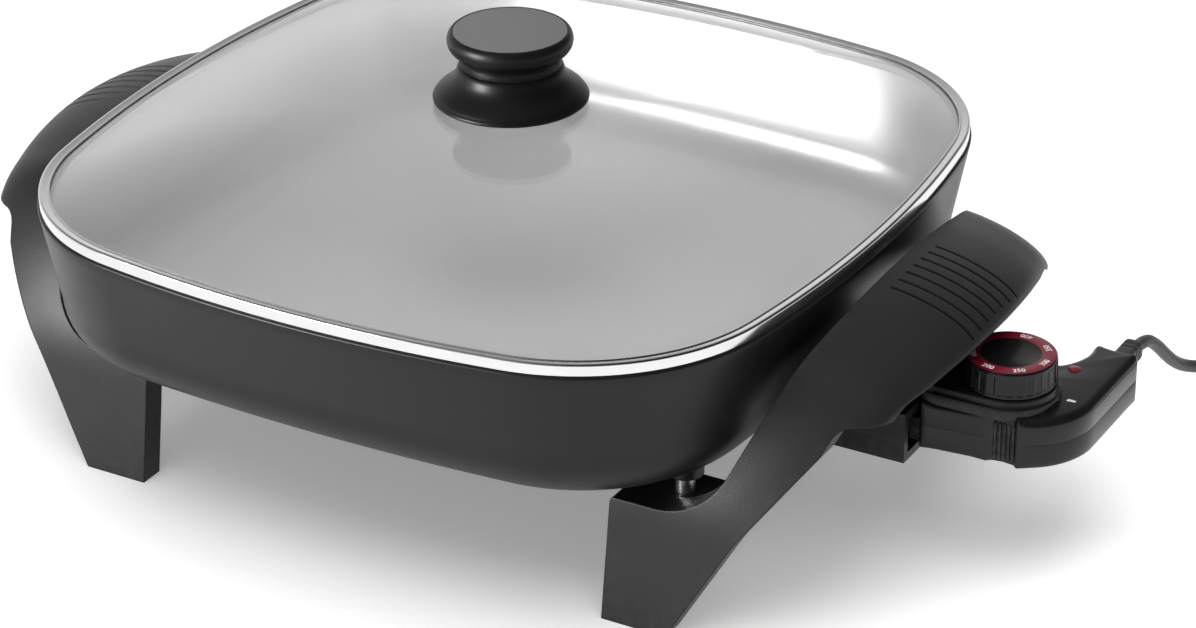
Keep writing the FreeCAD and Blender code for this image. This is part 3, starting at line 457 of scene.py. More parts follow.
def wear_group():
    """Edge wear: convex edges, broken up by noise, as a mask from 0 to 1."""
    if "Edge wear" in bpy.data.node_groups:
        return bpy.data.node_groups["Edge wear"]
    tree, start, end = new_group(
        "Edge wear",
        [
            ("Vector", "NodeSocketVector", None),
            ("Onset", "NodeSocketFloat", 0.54),
            ("Full", "NodeSocketFloat", 0.62),
            ("Break up", "NodeSocketFloat", 260.0),
        ],
        [("Mask", "NodeSocketFloat")],
    )
    shape = add(tree, "ShaderNodeNewGeometry")
    ramp = add(tree, "ShaderNodeMapRange", clamp=True)
    noise = add(tree, "ShaderNodeTexNoise", in_Detail=4.0, in_Roughness=0.6)
    gate = add(tree, "ShaderNodeMapRange", clamp=True, in_From_Min=0.42, in_From_Max=0.6)
    both = add(tree, "ShaderNodeMath", operation="MULTIPLY")
    wire(
        tree,
        (shape, "Pointiness", ramp, "Value"),
        (start, "Onset", ramp, "From Min"),
        (start, "Full", ramp, "From Max"),
        (start, "Vector", noise, "Vector"),
        (start, "Break up", noise, "Scale"),
        (noise, "Fac", gate, "Value"),
        (ramp, "Result", both, 0),
        (gate, "Result", both, 1),
        (both, 0, end, "Mask"),
    )
    return tree


def brushing_group():
    """Brushed lines: noise stretched along one axis, for height and for gloss."""
    if "Brushed lines" in bpy.data.node_groups:
        return bpy.data.node_groups["Brushed lines"]
    tree, start, end = new_group(
        "Brushed lines",
        [
            ("Vector", "NodeSocketVector", None),
            ("Stretch", "NodeSocketVector", (1.0, 1.0, 30.0)),
            ("Line size", "NodeSocketFloat", 400.0),
        ],
        [("Height", "NodeSocketFloat")],
    )
    scaled = add(tree, "ShaderNodeVectorMath", operation="MULTIPLY")
    noise = add(tree, "ShaderNodeTexNoise", in_Detail=5.0, in_Roughness=0.7)
    wire(
        tree,
        (start, "Vector", scaled, 0),
        (start, "Stretch", scaled, 1),
        (scaled, "Vector", noise, "Vector"),
        (start, "Line size", noise, "Scale"),
        (noise, "Fac", end, "Height"),
    )
    return tree


# Materials


def use_group(tree, place, group, **values):
    """A shared group placed in a material, reading Object coordinates, with its own values."""
    node = tree.nodes.new("ShaderNodeGroup")
    node.node_tree = group
    for key, value in values.items():
        node.inputs[key.replace("_", " ")].default_value = value
    wire(tree, (place, "Object", node, "Vector"))
    return node


def toned(tree, colour, group):
    """A mix node whose result is the colour multiplied by a grain group's tone."""
    tint = add(tree, "ShaderNodeMix", data_type="RGBA", blend_type="MULTIPLY")
    tint.inputs["Factor"].default_value = 1.0
    tint.inputs["A"].default_value = (*colour, 1.0)
    wire(tree, (group, "Tone", tint, "B"))
    return tint


def roughened(tree, shader, giver, output, start, stop, smooth, dull):
    """Roughness goes from smooth to dull as the socket goes from start to stop."""
    rough = add(tree, "ShaderNodeMapRange", in_From_Min=start, in_From_Max=stop, in_To_Min=smooth, in_To_Max=dull)
    wire(tree, (giver, output, rough, "Value"), (rough, "Result", shader, "Roughness"))


def embossed(tree, shader, group, depth):
    """Relief of depth metres from a group's height."""
    bump = add(tree, "ShaderNodeBump", in_Strength=1.0, in_Distance=depth)
    wire(tree, (group, "Height", bump, "Height"), (bump, "Normal", shader, "Normal"))
    return bump


def blank_material(name):
    """A material with one Principled BSDF, its output and Object coordinates."""
    material = bpy.data.materials.new(name)
    material.use_nodes = True
    tree = material.node_tree
    tree.nodes.clear()
    out = tree.nodes.new("ShaderNodeOutputMaterial")
    shader = tree.nodes.new("ShaderNodeBsdfPrincipled")
    place = tree.nodes.new("ShaderNodeTexCoord")
    tree.links.new(shader.outputs["BSDF"], out.inputs["Surface"])
    return material, tree, shader, place, out


def moulded(
    name, colour, gloss, grain=1400.0, depth=0.00004, mottle=0.1, worn=None, sheen_spread=0.06, shine=0.5, soft_edge=0.0
):
    """Moulded plastic or sprayed coating: grain in relief, slow changes of tone and gloss, worn edges."""
    if name in bpy.data.materials:
        return bpy.data.materials[name]
    material, tree, shader, place, _ = blank_material(name)
    surface = use_group(tree, place, grain_group(), Grain_size=grain, Mottle=mottle)
    wear = use_group(tree, place, wear_group())
    mixed = add(tree, "ShaderNodeMix", data_type="RGBA")
    pale = worn if worn is not None else tuple(min(1.0, c * 2.2 + 0.02) for c in colour)
    mixed.inputs["B"].default_value = (*pale, 1.0)
    wire(
        tree,
        (wear, "Mask", mixed, "Factor"),
        (toned(tree, colour, surface), "Result", mixed, "A"),
        (mixed, "Result", shader, "Base Color"),
    )
    roughened(tree, shader, surface, "Tone", 0.95, 1.05, gloss - sheen_spread, gloss + sheen_spread)
    shader.inputs["Specular IOR Level"].default_value = shine
    bump = embossed(tree, shader, surface, depth)
    if soft_edge:
        edge = add(tree, "ShaderNodeBevel", samples=6, in_Radius=soft_edge)
        wire(tree, (edge, "Normal", bump, "Normal"))
    return material


def metal(name, colour, gloss, stretch=(1.0, 1.0, 30.0), line=300.0, depth=0.000006):
    """Bare metal with fine lines from polishing or drawing."""
    if name in bpy.data.materials:
        return bpy.data.materials[name]
    material, tree, shader, place, _ = blank_material(name)
    shader.inputs["Metallic"].default_value = 1.0
    lines = use_group(tree, place, brushing_group(), Stretch=stretch, Line_size=line)
    grain = use_group(tree, place, grain_group(), Mottle=0.12, Mottle_size=60.0)
    wire(tree, (toned(tree, colour, grain), "Result", shader, "Base Color"))
    roughened(tree, shader, lines, "Height", 0.3, 0.7, max(0.02, gloss - 0.06), gloss + 0.06)
    embossed(tree, shader, lines, depth)
    return material


def clear_glass(name, colour, gloss=0.0):
    """Clear glass that lets light through to what it covers, with faint water marks in its gloss."""
    if name in bpy.data.materials:
        return bpy.data.materials[name]
    material, tree, shader, place, out = blank_material(name)
    shader.inputs["Transmission Weight"].default_value = 1.0
    shader.inputs["IOR"].default_value = 1.5
    shader.inputs["Metallic"].default_value = 0.0
    marks = use_group(tree, place, grain_group(), Mottle_size=18.0, Mottle=1.0)
    tint = add(tree, "ShaderNodeMix", data_type="RGBA")
    tint.inputs["A"].default_value = (*colour, 1.0)
    tint.inputs["B"].default_value = (*[c * 0.985 for c in colour], 1.0)
    see = tree.nodes.new("ShaderNodeBsdfTransparent")
    see.inputs["Color"].default_value = (0.95, 0.95, 0.95, 1.0)
    path = tree.nodes.new("ShaderNodeLightPath")
    mix = tree.nodes.new("ShaderNodeMixShader")
    roughened(tree, shader, marks, "Tone", 1.1, 1.4, gloss, gloss + 0.02)
    wire(
        tree,
        (marks, "Height", tint, "Factor"),
        (tint, "Result", shader, "Base Color"),
        (path, "Is Shadow Ray", mix, "Fac"),
        (shader, "BSDF", mix, 1),
        (see, "BSDF", mix, 2),
        (mix, "Shader", out, "Surface"),
    )
    return material


def lining(colour):
    """A satin lining with some metal in it, which catches soft reflections. Its pale grey is painted reflection: the
    darker coating's colour raised to stand in for the light it reflects.
    """
    material, tree, shader, place, _ = blank_material("Pan lining")
    shader.inputs["Metallic"].default_value = 0.35
    grain = use_group(tree, place, grain_group(), Grain_size=1300.0, Mottle=0.08, Mottle_size=14.0)
    wire(tree, (toned(tree, colour, grain), "Result", shader, "Base Color"))
    roughened(tree, shader, grain, "Tone", 0.96, 1.04, 0.34, 0.42)
    embossed(tree, shader, grain, 0.00002)
    return material


# Finishes that more than one piece has


def zinc_plate():
    """Bright plating on screws and washers."""
    return metal("Zinc plate", (0.6, 0.6, 0.61), 0.32)


def nickel_plate():
    """Smooth plating on pins and blades."""
    return metal("Nickel plate", (0.72, 0.72, 0.71), 0.22)


def ceramic():
    """Pale unglazed ceramic."""
    return moulded("Ceramic", (0.72, 0.69, 0.62), 0.55, grain=900.0, depth=0.00004, worn=(0.8, 0.78, 0.72))


def shroud_plastic(colour):
    """Duller plastic of the parts near the heat."""
    return moulded("Shroud plastic", colour, 0.45, grain=1300.0, depth=0.00005, shine=0.28)


def white_print(colour):
    """Printed figures and marks."""
    return moulded("White print", colour, 0.5, grain=600.0, depth=0.00001, mottle=0.06)


# Sizes and colours for the sidebar


def colour_value(name, description, default):
    """A colour that a user may change."""
    return bpy.props.FloatVectorProperty(
        name=name, description=description, default=default, subtype="COLOR", min=0.0, max=1.0
    )


def length_value(name, description, default):
    """A length in millimetres that a user may change."""
    return bpy.props.FloatProperty(name=name, description=description + ", in millimetres", default=default)


def angle_value(name, description, degrees):
    """An angle that a user may change."""
    return bpy.props.FloatProperty(
        name=name, description=description, default=math.radians(degrees), subtype="ANGLE"
    )


def light_value(name, description, default):
    """A strength or power of light that a user may change."""
    return bpy.props.FloatProperty(name=name, description=description, default=default, min=0.0)


class SkilletStudio(bpy.types.PropertyGroup):
    """Camera, lamps and floor."""

    camera_place: bpy.props.FloatVectorProperty(
        name="Camera place",
        description="Where the camera stands",
        default=(0.66488 + PAN_X, -1.10015, 0.71622),
        subtype="TRANSLATION",
        unit="LENGTH",
    )
    camera_yaw: angle_value("Camera yaw", "Turn of the view towards the left", 29.747)
    camera_pitch: angle_value("Camera pitch", "Tilt of the view downwards", 27.534)
    camera_roll: angle_value("Camera roll", "Roll of the picture", -0.442)
    camera_lens: length_value("Lens", "Focal length on a 36 mm wide sensor", 114.77)
    room_light: light_value("Room light", "Strength of the even light from all round", 0.5)
    key_light: light_value("Key light", "Power of the large soft lamp, in watts", 32.0)
    side_light: light_value("Side light", "Power of the low lamp at the front left, in watts", 42.0)
    floor_colour: colour_value("Floor", "Colour of the floor", (0.95, 0.95, 0.95))


class SkilletPan(bpy.types.PropertyGroup):
    """The cast pan and the two brackets that carry it."""

    rim_half: length_value("Rim half width", "Half the pan's width at its rim", 153.2)
    rim_height: length_value("Rim height", "Height of the pan's rim", 112.4)
    bottom_height: length_value("Bottom height", "Height of the pan's underside", 57.5)
    wall: length_value("Wall", "Thickness of the pan's wall", 3.6)
    outside: colour_value("Outside", "Colour of the pan's outside", (0.007, 0.007, 0.0073))
    # The lining's pale grey is painted reflection: it stands in for light reflected by a darker coating.
    inside: colour_value("Inside", "Colour of the pan's lining", (0.57, 0.57, 0.57))
    bracket: colour_value("Brackets", "Colour of legs and handles", (0.016, 0.016, 0.0163))


class SkilletLid(bpy.types.PropertyGroup):
    """The glass lid, its band and its knob."""

    half: length_value("Half width", "Half the lid band's width", 152.5)
    dome_rise: length_value("Dome rise", "How far the glass rises to its middle", 19.9)
    dome_power: bpy.props.FloatProperty(
        name="Dome flatness", description="Higher values keep the middle flatter", default=2.9
    )
    glass: colour_value("Glass", "Tint of the glass", (0.99, 0.99, 0.99))
    band: colour_value("Band", "Colour of the steel band", (0.64, 0.64, 0.64))
    knob: colour_value("Knob", "Colour of the knob", (0.005, 0.005, 0.0053))
    knob_face: colour_value("Knob face", "Colour of the knob's grained top", (0.12, 0.12, 0.122))


class SkilletControl(bpy.types.PropertyGroup):
    """The plug-in heat control, its dial and its cord."""

    dial_radius: length_value("Dial radius", "Outer radius of the dial", 17.0)
    cord_radius: length_value("Cord radius", "Radius of the cord's jacket", 2.4)
    housing: colour_value("Housing", "Colour of the housing", (0.007, 0.007, 0.0073))
    dial: colour_value("Dial", "Colour of the dial", (0.005, 0.005, 0.0055))
    ring: colour_value("Dial ring", "Colour of the dial's ring", (0.13, 0.006, 0.016))
    marks: colour_value("Marks", "Colour of the dial's figures", (0.6, 0.57, 0.57))
    cord: colour_value("Cord", "Colour of the cord", (0.03, 0.03, 0.031))


# The stage


def sight(tree):
    """A light path node, and a node whose value is 1 for camera, glossy and transmission rays and else 0."""
    path = tree.nodes.new("ShaderNodeLightPath")
    seen = add(tree, "ShaderNodeMath", operation="MAXIMUM")
    seen_too = add(tree, "ShaderNodeMath", operation="MAXIMUM")
    wire(
        tree,
        (path, "Is Camera Ray", seen, 0),
        (path, "Is Glossy Ray", seen, 1),
        (seen, 0, seen_too, 0),
        (path, "Is Transmission Ray", seen_too, 1),
    )
    return path, seen_too


def faded(tree, giver, output, start, stop, first, last):
    """A smooth step from first to last as the socket goes from start to stop."""
    step = add(tree, "ShaderNodeMapRange", interpolation_type="SMOOTHSTEP", in_From_Min=start, in_From_Max=stop)
    step.inputs["To Min"].default_value = first
    step.inputs["To Max"].default_value = last
    wire(tree, (giver, output, step, "Value"))
    return step


class SKILLET_OT_stage(bpy.types.Operator):
    """Sets up the camera, the floor and the soft studio light"""

    bl_idname = "skillet.stage"
    bl_label = "Camera, floor and light"

    def execute(self, context):
        scene = context.scene
        studio = scene.skillet_studio
        yaw, pitch, roll = studio.camera_yaw, studio.camera_pitch, studio.camera_roll
        forward = Vector((-math.sin(yaw) * math.cos(pitch), math.cos(yaw) * math.cos(pitch), -math.sin(pitch)))
        level = Vector((math.cos(yaw), math.sin(yaw), 0.0))
        raised = level.cross(forward)
        right = level * math.cos(roll) + raised * math.sin(roll)
        up = raised * math.cos(roll) - level * math.sin(roll)
        self.camera(scene, studio, Matrix((right, up, -forward)).transposed().to_4x4())
        self.floor(scene, studio.floor_colour)
        self.world(scene, studio.room_light)
        key = self.lamp(scene, "Key", (0.12, -0.35, 1.6), (0.03, 0.0, 0.05), (1.8, 1.8), studio.key_light)
        key.visible_glossy = False
        key.visible_transmission = False
        low = self.lamp(scene, "Front left", (-0.85, -1.3, 0.38), (-0.15, -0.1, 0.06), (0.5, 0.3), studio.side_light)
        low.visible_transmission = False
        low.visible_diffuse = False
        scene.view_settings.view_transform = "Standard"
        return {"FINISHED"}

    def camera(self, scene, studio, turn):
        """The camera at its place, turned to the view of the photograph."""
        lens = bpy.data.cameras.new("Camera")
        lens.sensor_width = 36.0
        lens.sensor_fit = "HORIZONTAL"
        lens.lens = studio.camera_lens
        lens.clip_end = 50.0
        made = bpy.data.objects.new("Camera", lens)
        scene.collection.objects.link(made)
        made.matrix_world = Matrix.Translation(studio.camera_place) @ turn
        scene.camera = made

    def floor(self, scene, colour):
        """A plain floor that looks a little lighter to the eye and in reflections, and still takes a shadow."""
        material = bpy.data.materials.new("Studio floor")
        material.use_nodes = True
        tree = material.node_tree
        tree.nodes.clear()
        out = tree.nodes.new("ShaderNodeOutputMaterial")
        matt = tree.nodes.new("ShaderNodeBsdfDiffuse")
        matt.inputs["Color"].default_value = (*colour, 1.0)
        glow = tree.nodes.new("ShaderNodeEmission")
        both = tree.nodes.new("ShaderNodeAddShader")
        level = add(tree, "ShaderNodeMath", operation="MULTIPLY", at_1=0.25)
        _, seen = sight(tree)
        wire(
            tree,
            (seen, 0, level, 0),
            (level, 0, glow, "Strength"),
            (matt, 0, both, 0),
            (glow, 0, both, 1),
            (both, 0, out, "Surface"),
        )
        half = 6.0
        mesh = bpy.data.meshes.new("Floor")
        corners = [(-half, -half, 0), (half, -half, 0), (half, half, 0), (-half, half, 0)]
        mesh.from_pydata(corners, [], [(0, 1, 2, 3)])
        mesh.materials.append(material)
        floor = bpy.data.objects.new("Floor", mesh)
        scene.collection.objects.link(floor)

    def world(self, scene, strength):
        """Even room light, white to the camera.

        Reflections see a level that fades upwards and to the right, plus a soft window at the
        back left: level = rise(Z) x side(X) + window(angle to the window).
        """
        world = bpy.data.worlds.new("Studio")
        scene.world = world
        world.use_nodes = True
        tree = world.node_tree
        tree.nodes.clear()
        out = tree.nodes.new("ShaderNodeOutputWorld")
        even = tree.nodes.new("ShaderNodeBackground")
        even.inputs["Strength"].default_value = strength
        shown = tree.nodes.new("ShaderNodeBackground")
        place = tree.nodes.new("ShaderNodeTexCoord")
        split = tree.nodes.new("ShaderNodeSeparateXYZ")
        towards = add(tree, "ShaderNodeVectorMath", operation="DOT_PRODUCT", at_1=(-0.6, 0.72, 0.35))
        wire(tree, (place, "Generated", split, 0), (place, "Generated", towards, 0))
        rise = faded(tree, split, "Z", 0.15, 0.6, 1.0, 0.3)
        side = faded(tree, split, "X", -0.3, 0.45, 1.0, 0.1)
        window = faded(tree, towards, "Value", 0.89, 0.99, 0.0, 0.35)
        fade = add(tree, "ShaderNodeMath", operation="MULTIPLY")
        level = add(tree, "ShaderNodeMath", operation="ADD")
        camera_or = add(tree, "ShaderNodeMath", operation="MAXIMUM")
        mix = tree.nodes.new("ShaderNodeMixShader")
        path, seen = sight(tree)
        wire(
            tree,
            (rise, "Result", fade, 0),
            (side, "Result", fade, 1),
            (fade, 0, level, 0),
            (window, "Result", level, 1),
            (level, 0, camera_or, 0),
            (path, "Is Camera Ray", camera_or, 1),
            (camera_or, 0, shown, "Strength"),
            (seen, 0, mix, "Fac"),
            (even, 0, mix, 1),
            (shown, 0, mix, 2),
            (mix, 0, out, "Surface"),
        )

    def lamp(self, scene, name, place, aim, size, power):
        """A rectangular soft lamp aimed at a point."""
        light = bpy.data.lights.new(name, "AREA")
        light.shape = "RECTANGLE"
        light.size, light.size_y = size
        light.energy = power
        made = bpy.data.objects.new(name, light)
        scene.collection.objects.link(made)
        made.location = place
        made.rotation_euler = (Vector(aim) - Vector(place)).to_track_quat("-Z", "Y").to_euler()
        return made


# The cord


CORD_ROUTE = [
    (226.4, 61.0, 61.0), (226.4, 70.5, 61.0), (227.9, 79.0, 55.2), (229.1, 86.5, 47.7), (230.3, 93.6, 41.4),
    (232.3, 100.2, 37.2), (236.0, 107.4, 34.4), (242.4, 115.6, 30.6), (250.0, 126.4, 24.0),
    (257.4, 140.4, 15.0), (263.0, 156.6, 7.0), (265.8, 174.4, 2.65), (266.2, 190.0, 2.65),
]
COIL_RADIUS = 30.0
COIL_PITCH = 5.4
COIL_LAYER = 5.3
COIL_TURNS = 3.5
PLUG_LEAD = 12.0


def coil_rows(start, steps_per_turn=16):
    """Loops that spiral in on the lower layer, climb one layer in half a turn and spiral out again.

    Radius = outer radius - pitch x (turns from the nearer end); the height climbs by a cosine.
    """
    turn = np.arange(1, int(COIL_TURNS * steps_per_turn)) / steps_per_turn
    middle = COIL_TURNS / 2
    radius = COIL_RADIUS - COIL_PITCH * (middle - np.abs(turn - middle))
    climb = np.clip((turn - middle + 0.25) / 0.5, 0, 1)
    height = COIL_LAYER * (1 - np.cos(math.pi * climb)) / 2
    angle = math.pi * (1 - 2 * turn)
    radius = radius * 2 / (1 + math.cos(math.pi / steps_per_turn))
    centre = np.array(start) + np.array([COIL_RADIUS, 0.0, 0.0])
    return centre + np.stack([radius * np.cos(angle), radius * np.sin(angle), height], axis=1)


class SKILLET_OT_cord(bpy.types.Operator):
    """Makes the cord with its coil, the sleeve it leaves by and its plug"""

    bl_idname = "skillet.cord"
    bl_label = "Cord and plug"

    def execute(self, context):
        control = context.scene.skillet_control
        jacket = moulded("Cord jacket", control.cord, 0.42, grain=900.0, depth=0.00003, mottle=0.2)
        rubber = moulded("Plug rubber", tuple(c * 0.8 for c in control.cord), 0.5, grain=1100.0, depth=0.00005)
        radius = control.cord_radius
        end = np.array(CORD_ROUTE[-1])
        coil_start = end + np.array([0.0, 2 * radius, 0.0])
        coil_end = coil_start + np.array([2 * COIL_RADIUS, 0.0, COIL_LAYER])
        plug_face = coil_end - np.array([0.0, PLUG_LEAD, 0.0])
        rows = np.concatenate([CORD_ROUTE, [coil_start], coil_rows(coil_start), [coil_end, plug_face]])
        rows = rows * MM + PAN_CENTRE

        curve = bpy.data.curves.new("mains_cord", "CURVE")
        curve.dimensions = "3D"
        curve.bevel_depth = radius * MM
        curve.bevel_resolution = 6
        curve.resolution_u = 6
        curve.use_fill_caps = True
        spline = curve.splines.new("NURBS")
        spline.points.add(len(rows) - 1)
        spline.points.foreach_set("co", np.concatenate([rows, np.ones((len(rows), 1))], axis=1).ravel())
        spline.order_u = 3
        spline.use_endpoint_u = True
        spline.use_smooth = True
        curve.materials.append(jacket)
        cord = bpy.data.objects.new("mains_cord", curve)
        context.scene.collection.objects.link(cord)
        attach(cord, "heat_control")
        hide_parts("cord", "cord_coil")

        self.guard(rubber)
        plug = self.plug(rubber, plug_face)
        dress(["plug_blades"], nickel_plate())
        return {"FINISHED"}

    def guard(self, material):
        """A flat sleeve with shallow ribs across it, carried along +Y from inside the housing."""
        low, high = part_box("cord_guard")
        x = (low.x + high.x) / 2 / MM - PAN_X / MM
        y = np.array([47.6, 50.0, 50.6, 51.4, 52.0, 53.6, 54.2, 54.8, 56.4, 57.0, 57.6, 59.2, 60.2, 61.0])
        half_x = np.array([3.5, 3.5, 3.5, 3.5, 3.5, 3.5, 3.1, 3.5, 3.5, 3.1, 3.5, 3.5, 3.4, 3.0])
        bottom, top = 58.0, 65.4
        half_z = (top - bottom) / 2
        corner = soft_corners([(-1, -1, 0.45), (1, -1, 0.45), (1, 1, 0.45), (-1, 1, 0.45)], 7)
        grid = np.empty((len(y), len(corner), 3))
        grid[:, :, 0] = x + half_x[:, None] * corner[None, :, 0]
        grid[:, :, 1] = y[:, None]
        grid[:, :, 2] = bottom + half_z + (half_z - (3.5 - half_x[:, None])) * corner[None, :, 1]
        shape = skin(grid[:, ::-1], cap_first=True, cap_last=True)
        return piece("cord_sleeve", [shape], material, "heat_control", ("cord_guard",), 40)

    def plug(self, material, face):
        """The plug: a rounded neck that widens into a waisted grip, with ribs, in front of its blades."""
        y = np.array([0.0, -0.8, -8.0, -9.6, -12.0, -15.0, -20.0, -25.0, -30.0, -35.0, -37.6, -38.6, -39.0])
        half_x = np.array([4.2, 5.0, 5.0, 6.4, 9.4, 10.6, 9.6, 9.2, 9.8, 11.0, 11.0, 10.6, 9.6])
        half_z = np.array([4.2, 5.0, 5.0, 5.4, 6.6, 7.4, 7.0, 6.8, 7.2, 7.7, 7.7, 7.3, 6.6])
        corner = soft_corners([(-1, -1, 0.5), (1, -1, 0.5), (1, 1, 0.5), (-1, 1, 0.5)], 9)
        grid = np.empty((len(y), len(corner), 3))
        grid[:, :, 0] = face[0] + half_x[:, None] * corner[None, :, 0]
        grid[:, :, 1] = face[1] + y[:, None]
        grid[:, :, 2] = face[2] + half_z[:, None] * corner[None, :, 1]
        shape = skin(grid, cap_first=True, cap_last=True)
        return piece("mains_plug", [shape], material, "heat_control", ("plug",), 40)


# The pan and its brackets


def pan_grid(inset, top, rim_half, rim_height, bottom_height):
    """Rows of one of the pan's skins, from the rim down the wall, round the bottom and to its middle.

    The wall is ruled between the rim's outline and the foot's outline, both drawn in by inset;
    the rounding follows a quarter circle of the bottom radius less inset; the floor is flat.
    """
    rim, rim_normal = rim_outline(rim_half)
    foot, foot_normal = bowed_square(FOOT_HALF, FOOT_SIDE, FOOT_CORNER, OUTLINE_STEPS)
    level = np.ones((1, len(rim)))
    centre = bottom_height + BOTTOM_ROUNDING
    radius = BOTTOM_ROUNDING - inset
    wall_top = rim_height - LIP_ROUNDING
    span = wall_top - centre
    share = np.linspace(1.0 + (top - wall_top) / span, 0.0, 10)[:, None, None]
    wall = (foot - inset * foot_normal)[None] * (1 - share) + (rim - inset * rim_normal)[None] * share
    wall_z = centre + span * share[:, :, 0] * level
    angle = np.linspace(0, math.pi / 2, 13)[1:, None]
    drawn = inset + radius * (1 - np.cos(angle))
    rounding = foot[None] - drawn[:, :, None] * foot_normal[None]
    rounding_z = centre - radius * np.sin(angle) * level
    shrink = np.array([0.93, 0.8, 0.6, 0.35, 0.12])[:, None, None]
    floor = rounding[-1][None] * shrink
    floor_z = np.full((len(shrink), len(rim)), centre - radius)
    flat = np.concatenate([wall, rounding, floor])
    height = np.concatenate([wall_z, rounding_z, floor_z])
    return np.concatenate([flat, height[:, :, None]], axis=2)


class SKILLET_OT_pan(bpy.types.Operator):
    """Makes the cast pan: its outside, its lining, pale with painted reflection, and the ribs under its floor"""

    bl_idname = "skillet.pan"
    bl_label = "Pan"

    def execute(self, context):
        pan = context.scene.skillet_pan
        outside = moulded("Satin coating", pan.outside, 0.4, grain=1500.0, depth=0.00002, mottle=0.12, shine=0.24)
        size = (pan.rim_half, pan.rim_height, pan.bottom_height)
        outer = pan_grid(0.0, pan.rim_height - LIP_ROUNDING, *size)
        between = pan_grid(pan.wall * 0.6, pan.rim_height, *size)
        inner = pan_grid(pan.wall, pan.rim_height, *size)
        body = np.concatenate([between[::-1], self.lip(pan), outer])
        shell = skin(body[:, ::-1], cap_first=True, cap_last=True)
        liner = skin(np.concatenate([inner[::-1], between])[:, ::-1], cap_first=True, cap_last=True)
        # The lining's colour is painted reflection: pale grey in place of the light a darker coating reflects.
        piece("pan_lining", [liner], lining(pan.inside), "skillet", (), 40)
        piece("pan_body", [shell] + self.underside(), outside, "skillet", ("pan",), 32)
        return {"FINISHED"}

    def lip(self, pan):
        """The rim's outer edge as a quarter circle: inset = r x (1 - cos), height = rim - r + r x sin."""
        angle = np.linspace(math.pi / 2, 0.0, 6)[:-1]
        inset = LIP_ROUNDING * (1 - np.cos(angle))
        height = pan.rim_height - LIP_ROUNDING + LIP_ROUNDING * np.sin(angle)
        return drawn_in(rim_outline(pan.rim_half), np.stack([inset, height], axis=1))

    def underside(self):
        """The element's half-round ridge, the probe's boss, the terminal block and the four screw bosses."""
        ridge = [(139.2, -15), (116, -15), (94, -78), (-78, -78), (-78, 78), (94, 78), (116, 15), (139.2, 15)]
        level = 54
        path = soft_path(ridge, [12, 22, 22, 22, 22, 12], level)
        well = [(x, 0, level) for x in (74.6, 90, 120, 139.5)]
        shapes = [along_path(path, circle(6.5, 28)[::-1]), along_path(well, circle(7.0, 28)[::-1])]
        for front, back, radius, low, high in ((100.0, 149.0, 1.2, 48.0, 61.0), (136.0, 139.5, 0.6, 60.0, 65.5)):
            block = [(front, -26, radius), (back, -26, radius), (back, 26, radius), (front, 26, radius)]
            profile = [(0.8, low), (0.2, low + 0.2), (0.0, low + 0.8), (0.0, high - 0.4), (0.4, high)]
            shapes.append(slab(with_normals(soft_corners(block, 5)), profile))
        boss = [(0, 52.5), (6.1, 52.5), (6.5, 52.9), (6.5, 60.5), (0, 60.5)]
        shapes += [turned(boss, (x, y), 40) for x in (-119.0, 119.0) for y in (-84.0, 84.0)]
        return shapes


class SKILLET_OT_brackets(bpy.types.Operator):
    """Finishes the two leg-and-handle mouldings and their fixings"""

    bl_idname = "skillet.brackets"
    bl_label = "Brackets"

    def execute(self, context):
        pan = context.scene.skillet_pan
        worn = (0.025, 0.025, 0.0255)
        plastic = moulded(
            "Bracket plastic", pan.bracket, 0.42, depth=0.00004, worn=worn, shine=0.24, soft_edge=0.0009
        )
        for side in ("left", "right"):
            node = side + "_bracket"
            recut(node, side + "_leg_and_handle", plastic, "skillet", sharp=30.0)
        dress(["bracket_screws", "bracket_washers"], zinc_plate())
        dress(["bracket_spacers"], metal("Turned aluminium", (0.66, 0.66, 0.67), 0.3))
        return {"FINISHED"}


class SKILLET_OT_terminals(bpy.types.Operator):
    """Finishes the terminal pins, their insulators, the shroud and the element"""

    bl_idname = "skillet.terminals"
    bl_label = "Terminals and element"

    def execute(self, context):
        control = context.scene.skillet_control
        sleeve = shroud_plastic(control.housing)
        recut("terminal_shroud", "terminal_sleeve", sleeve, "skillet", bevel=0.0008)
        dress(["terminal_insulators"], ceramic())
        dress(["terminal_pin_front", "terminal_pin_back"], nickel_plate())
        dress(["heating_element"], metal("Element tube", (0.42, 0.4, 0.37), 0.4))
        dress(["shroud_screws"], zinc_plate())
        return {"FINISHED"}


# The lid and its knob


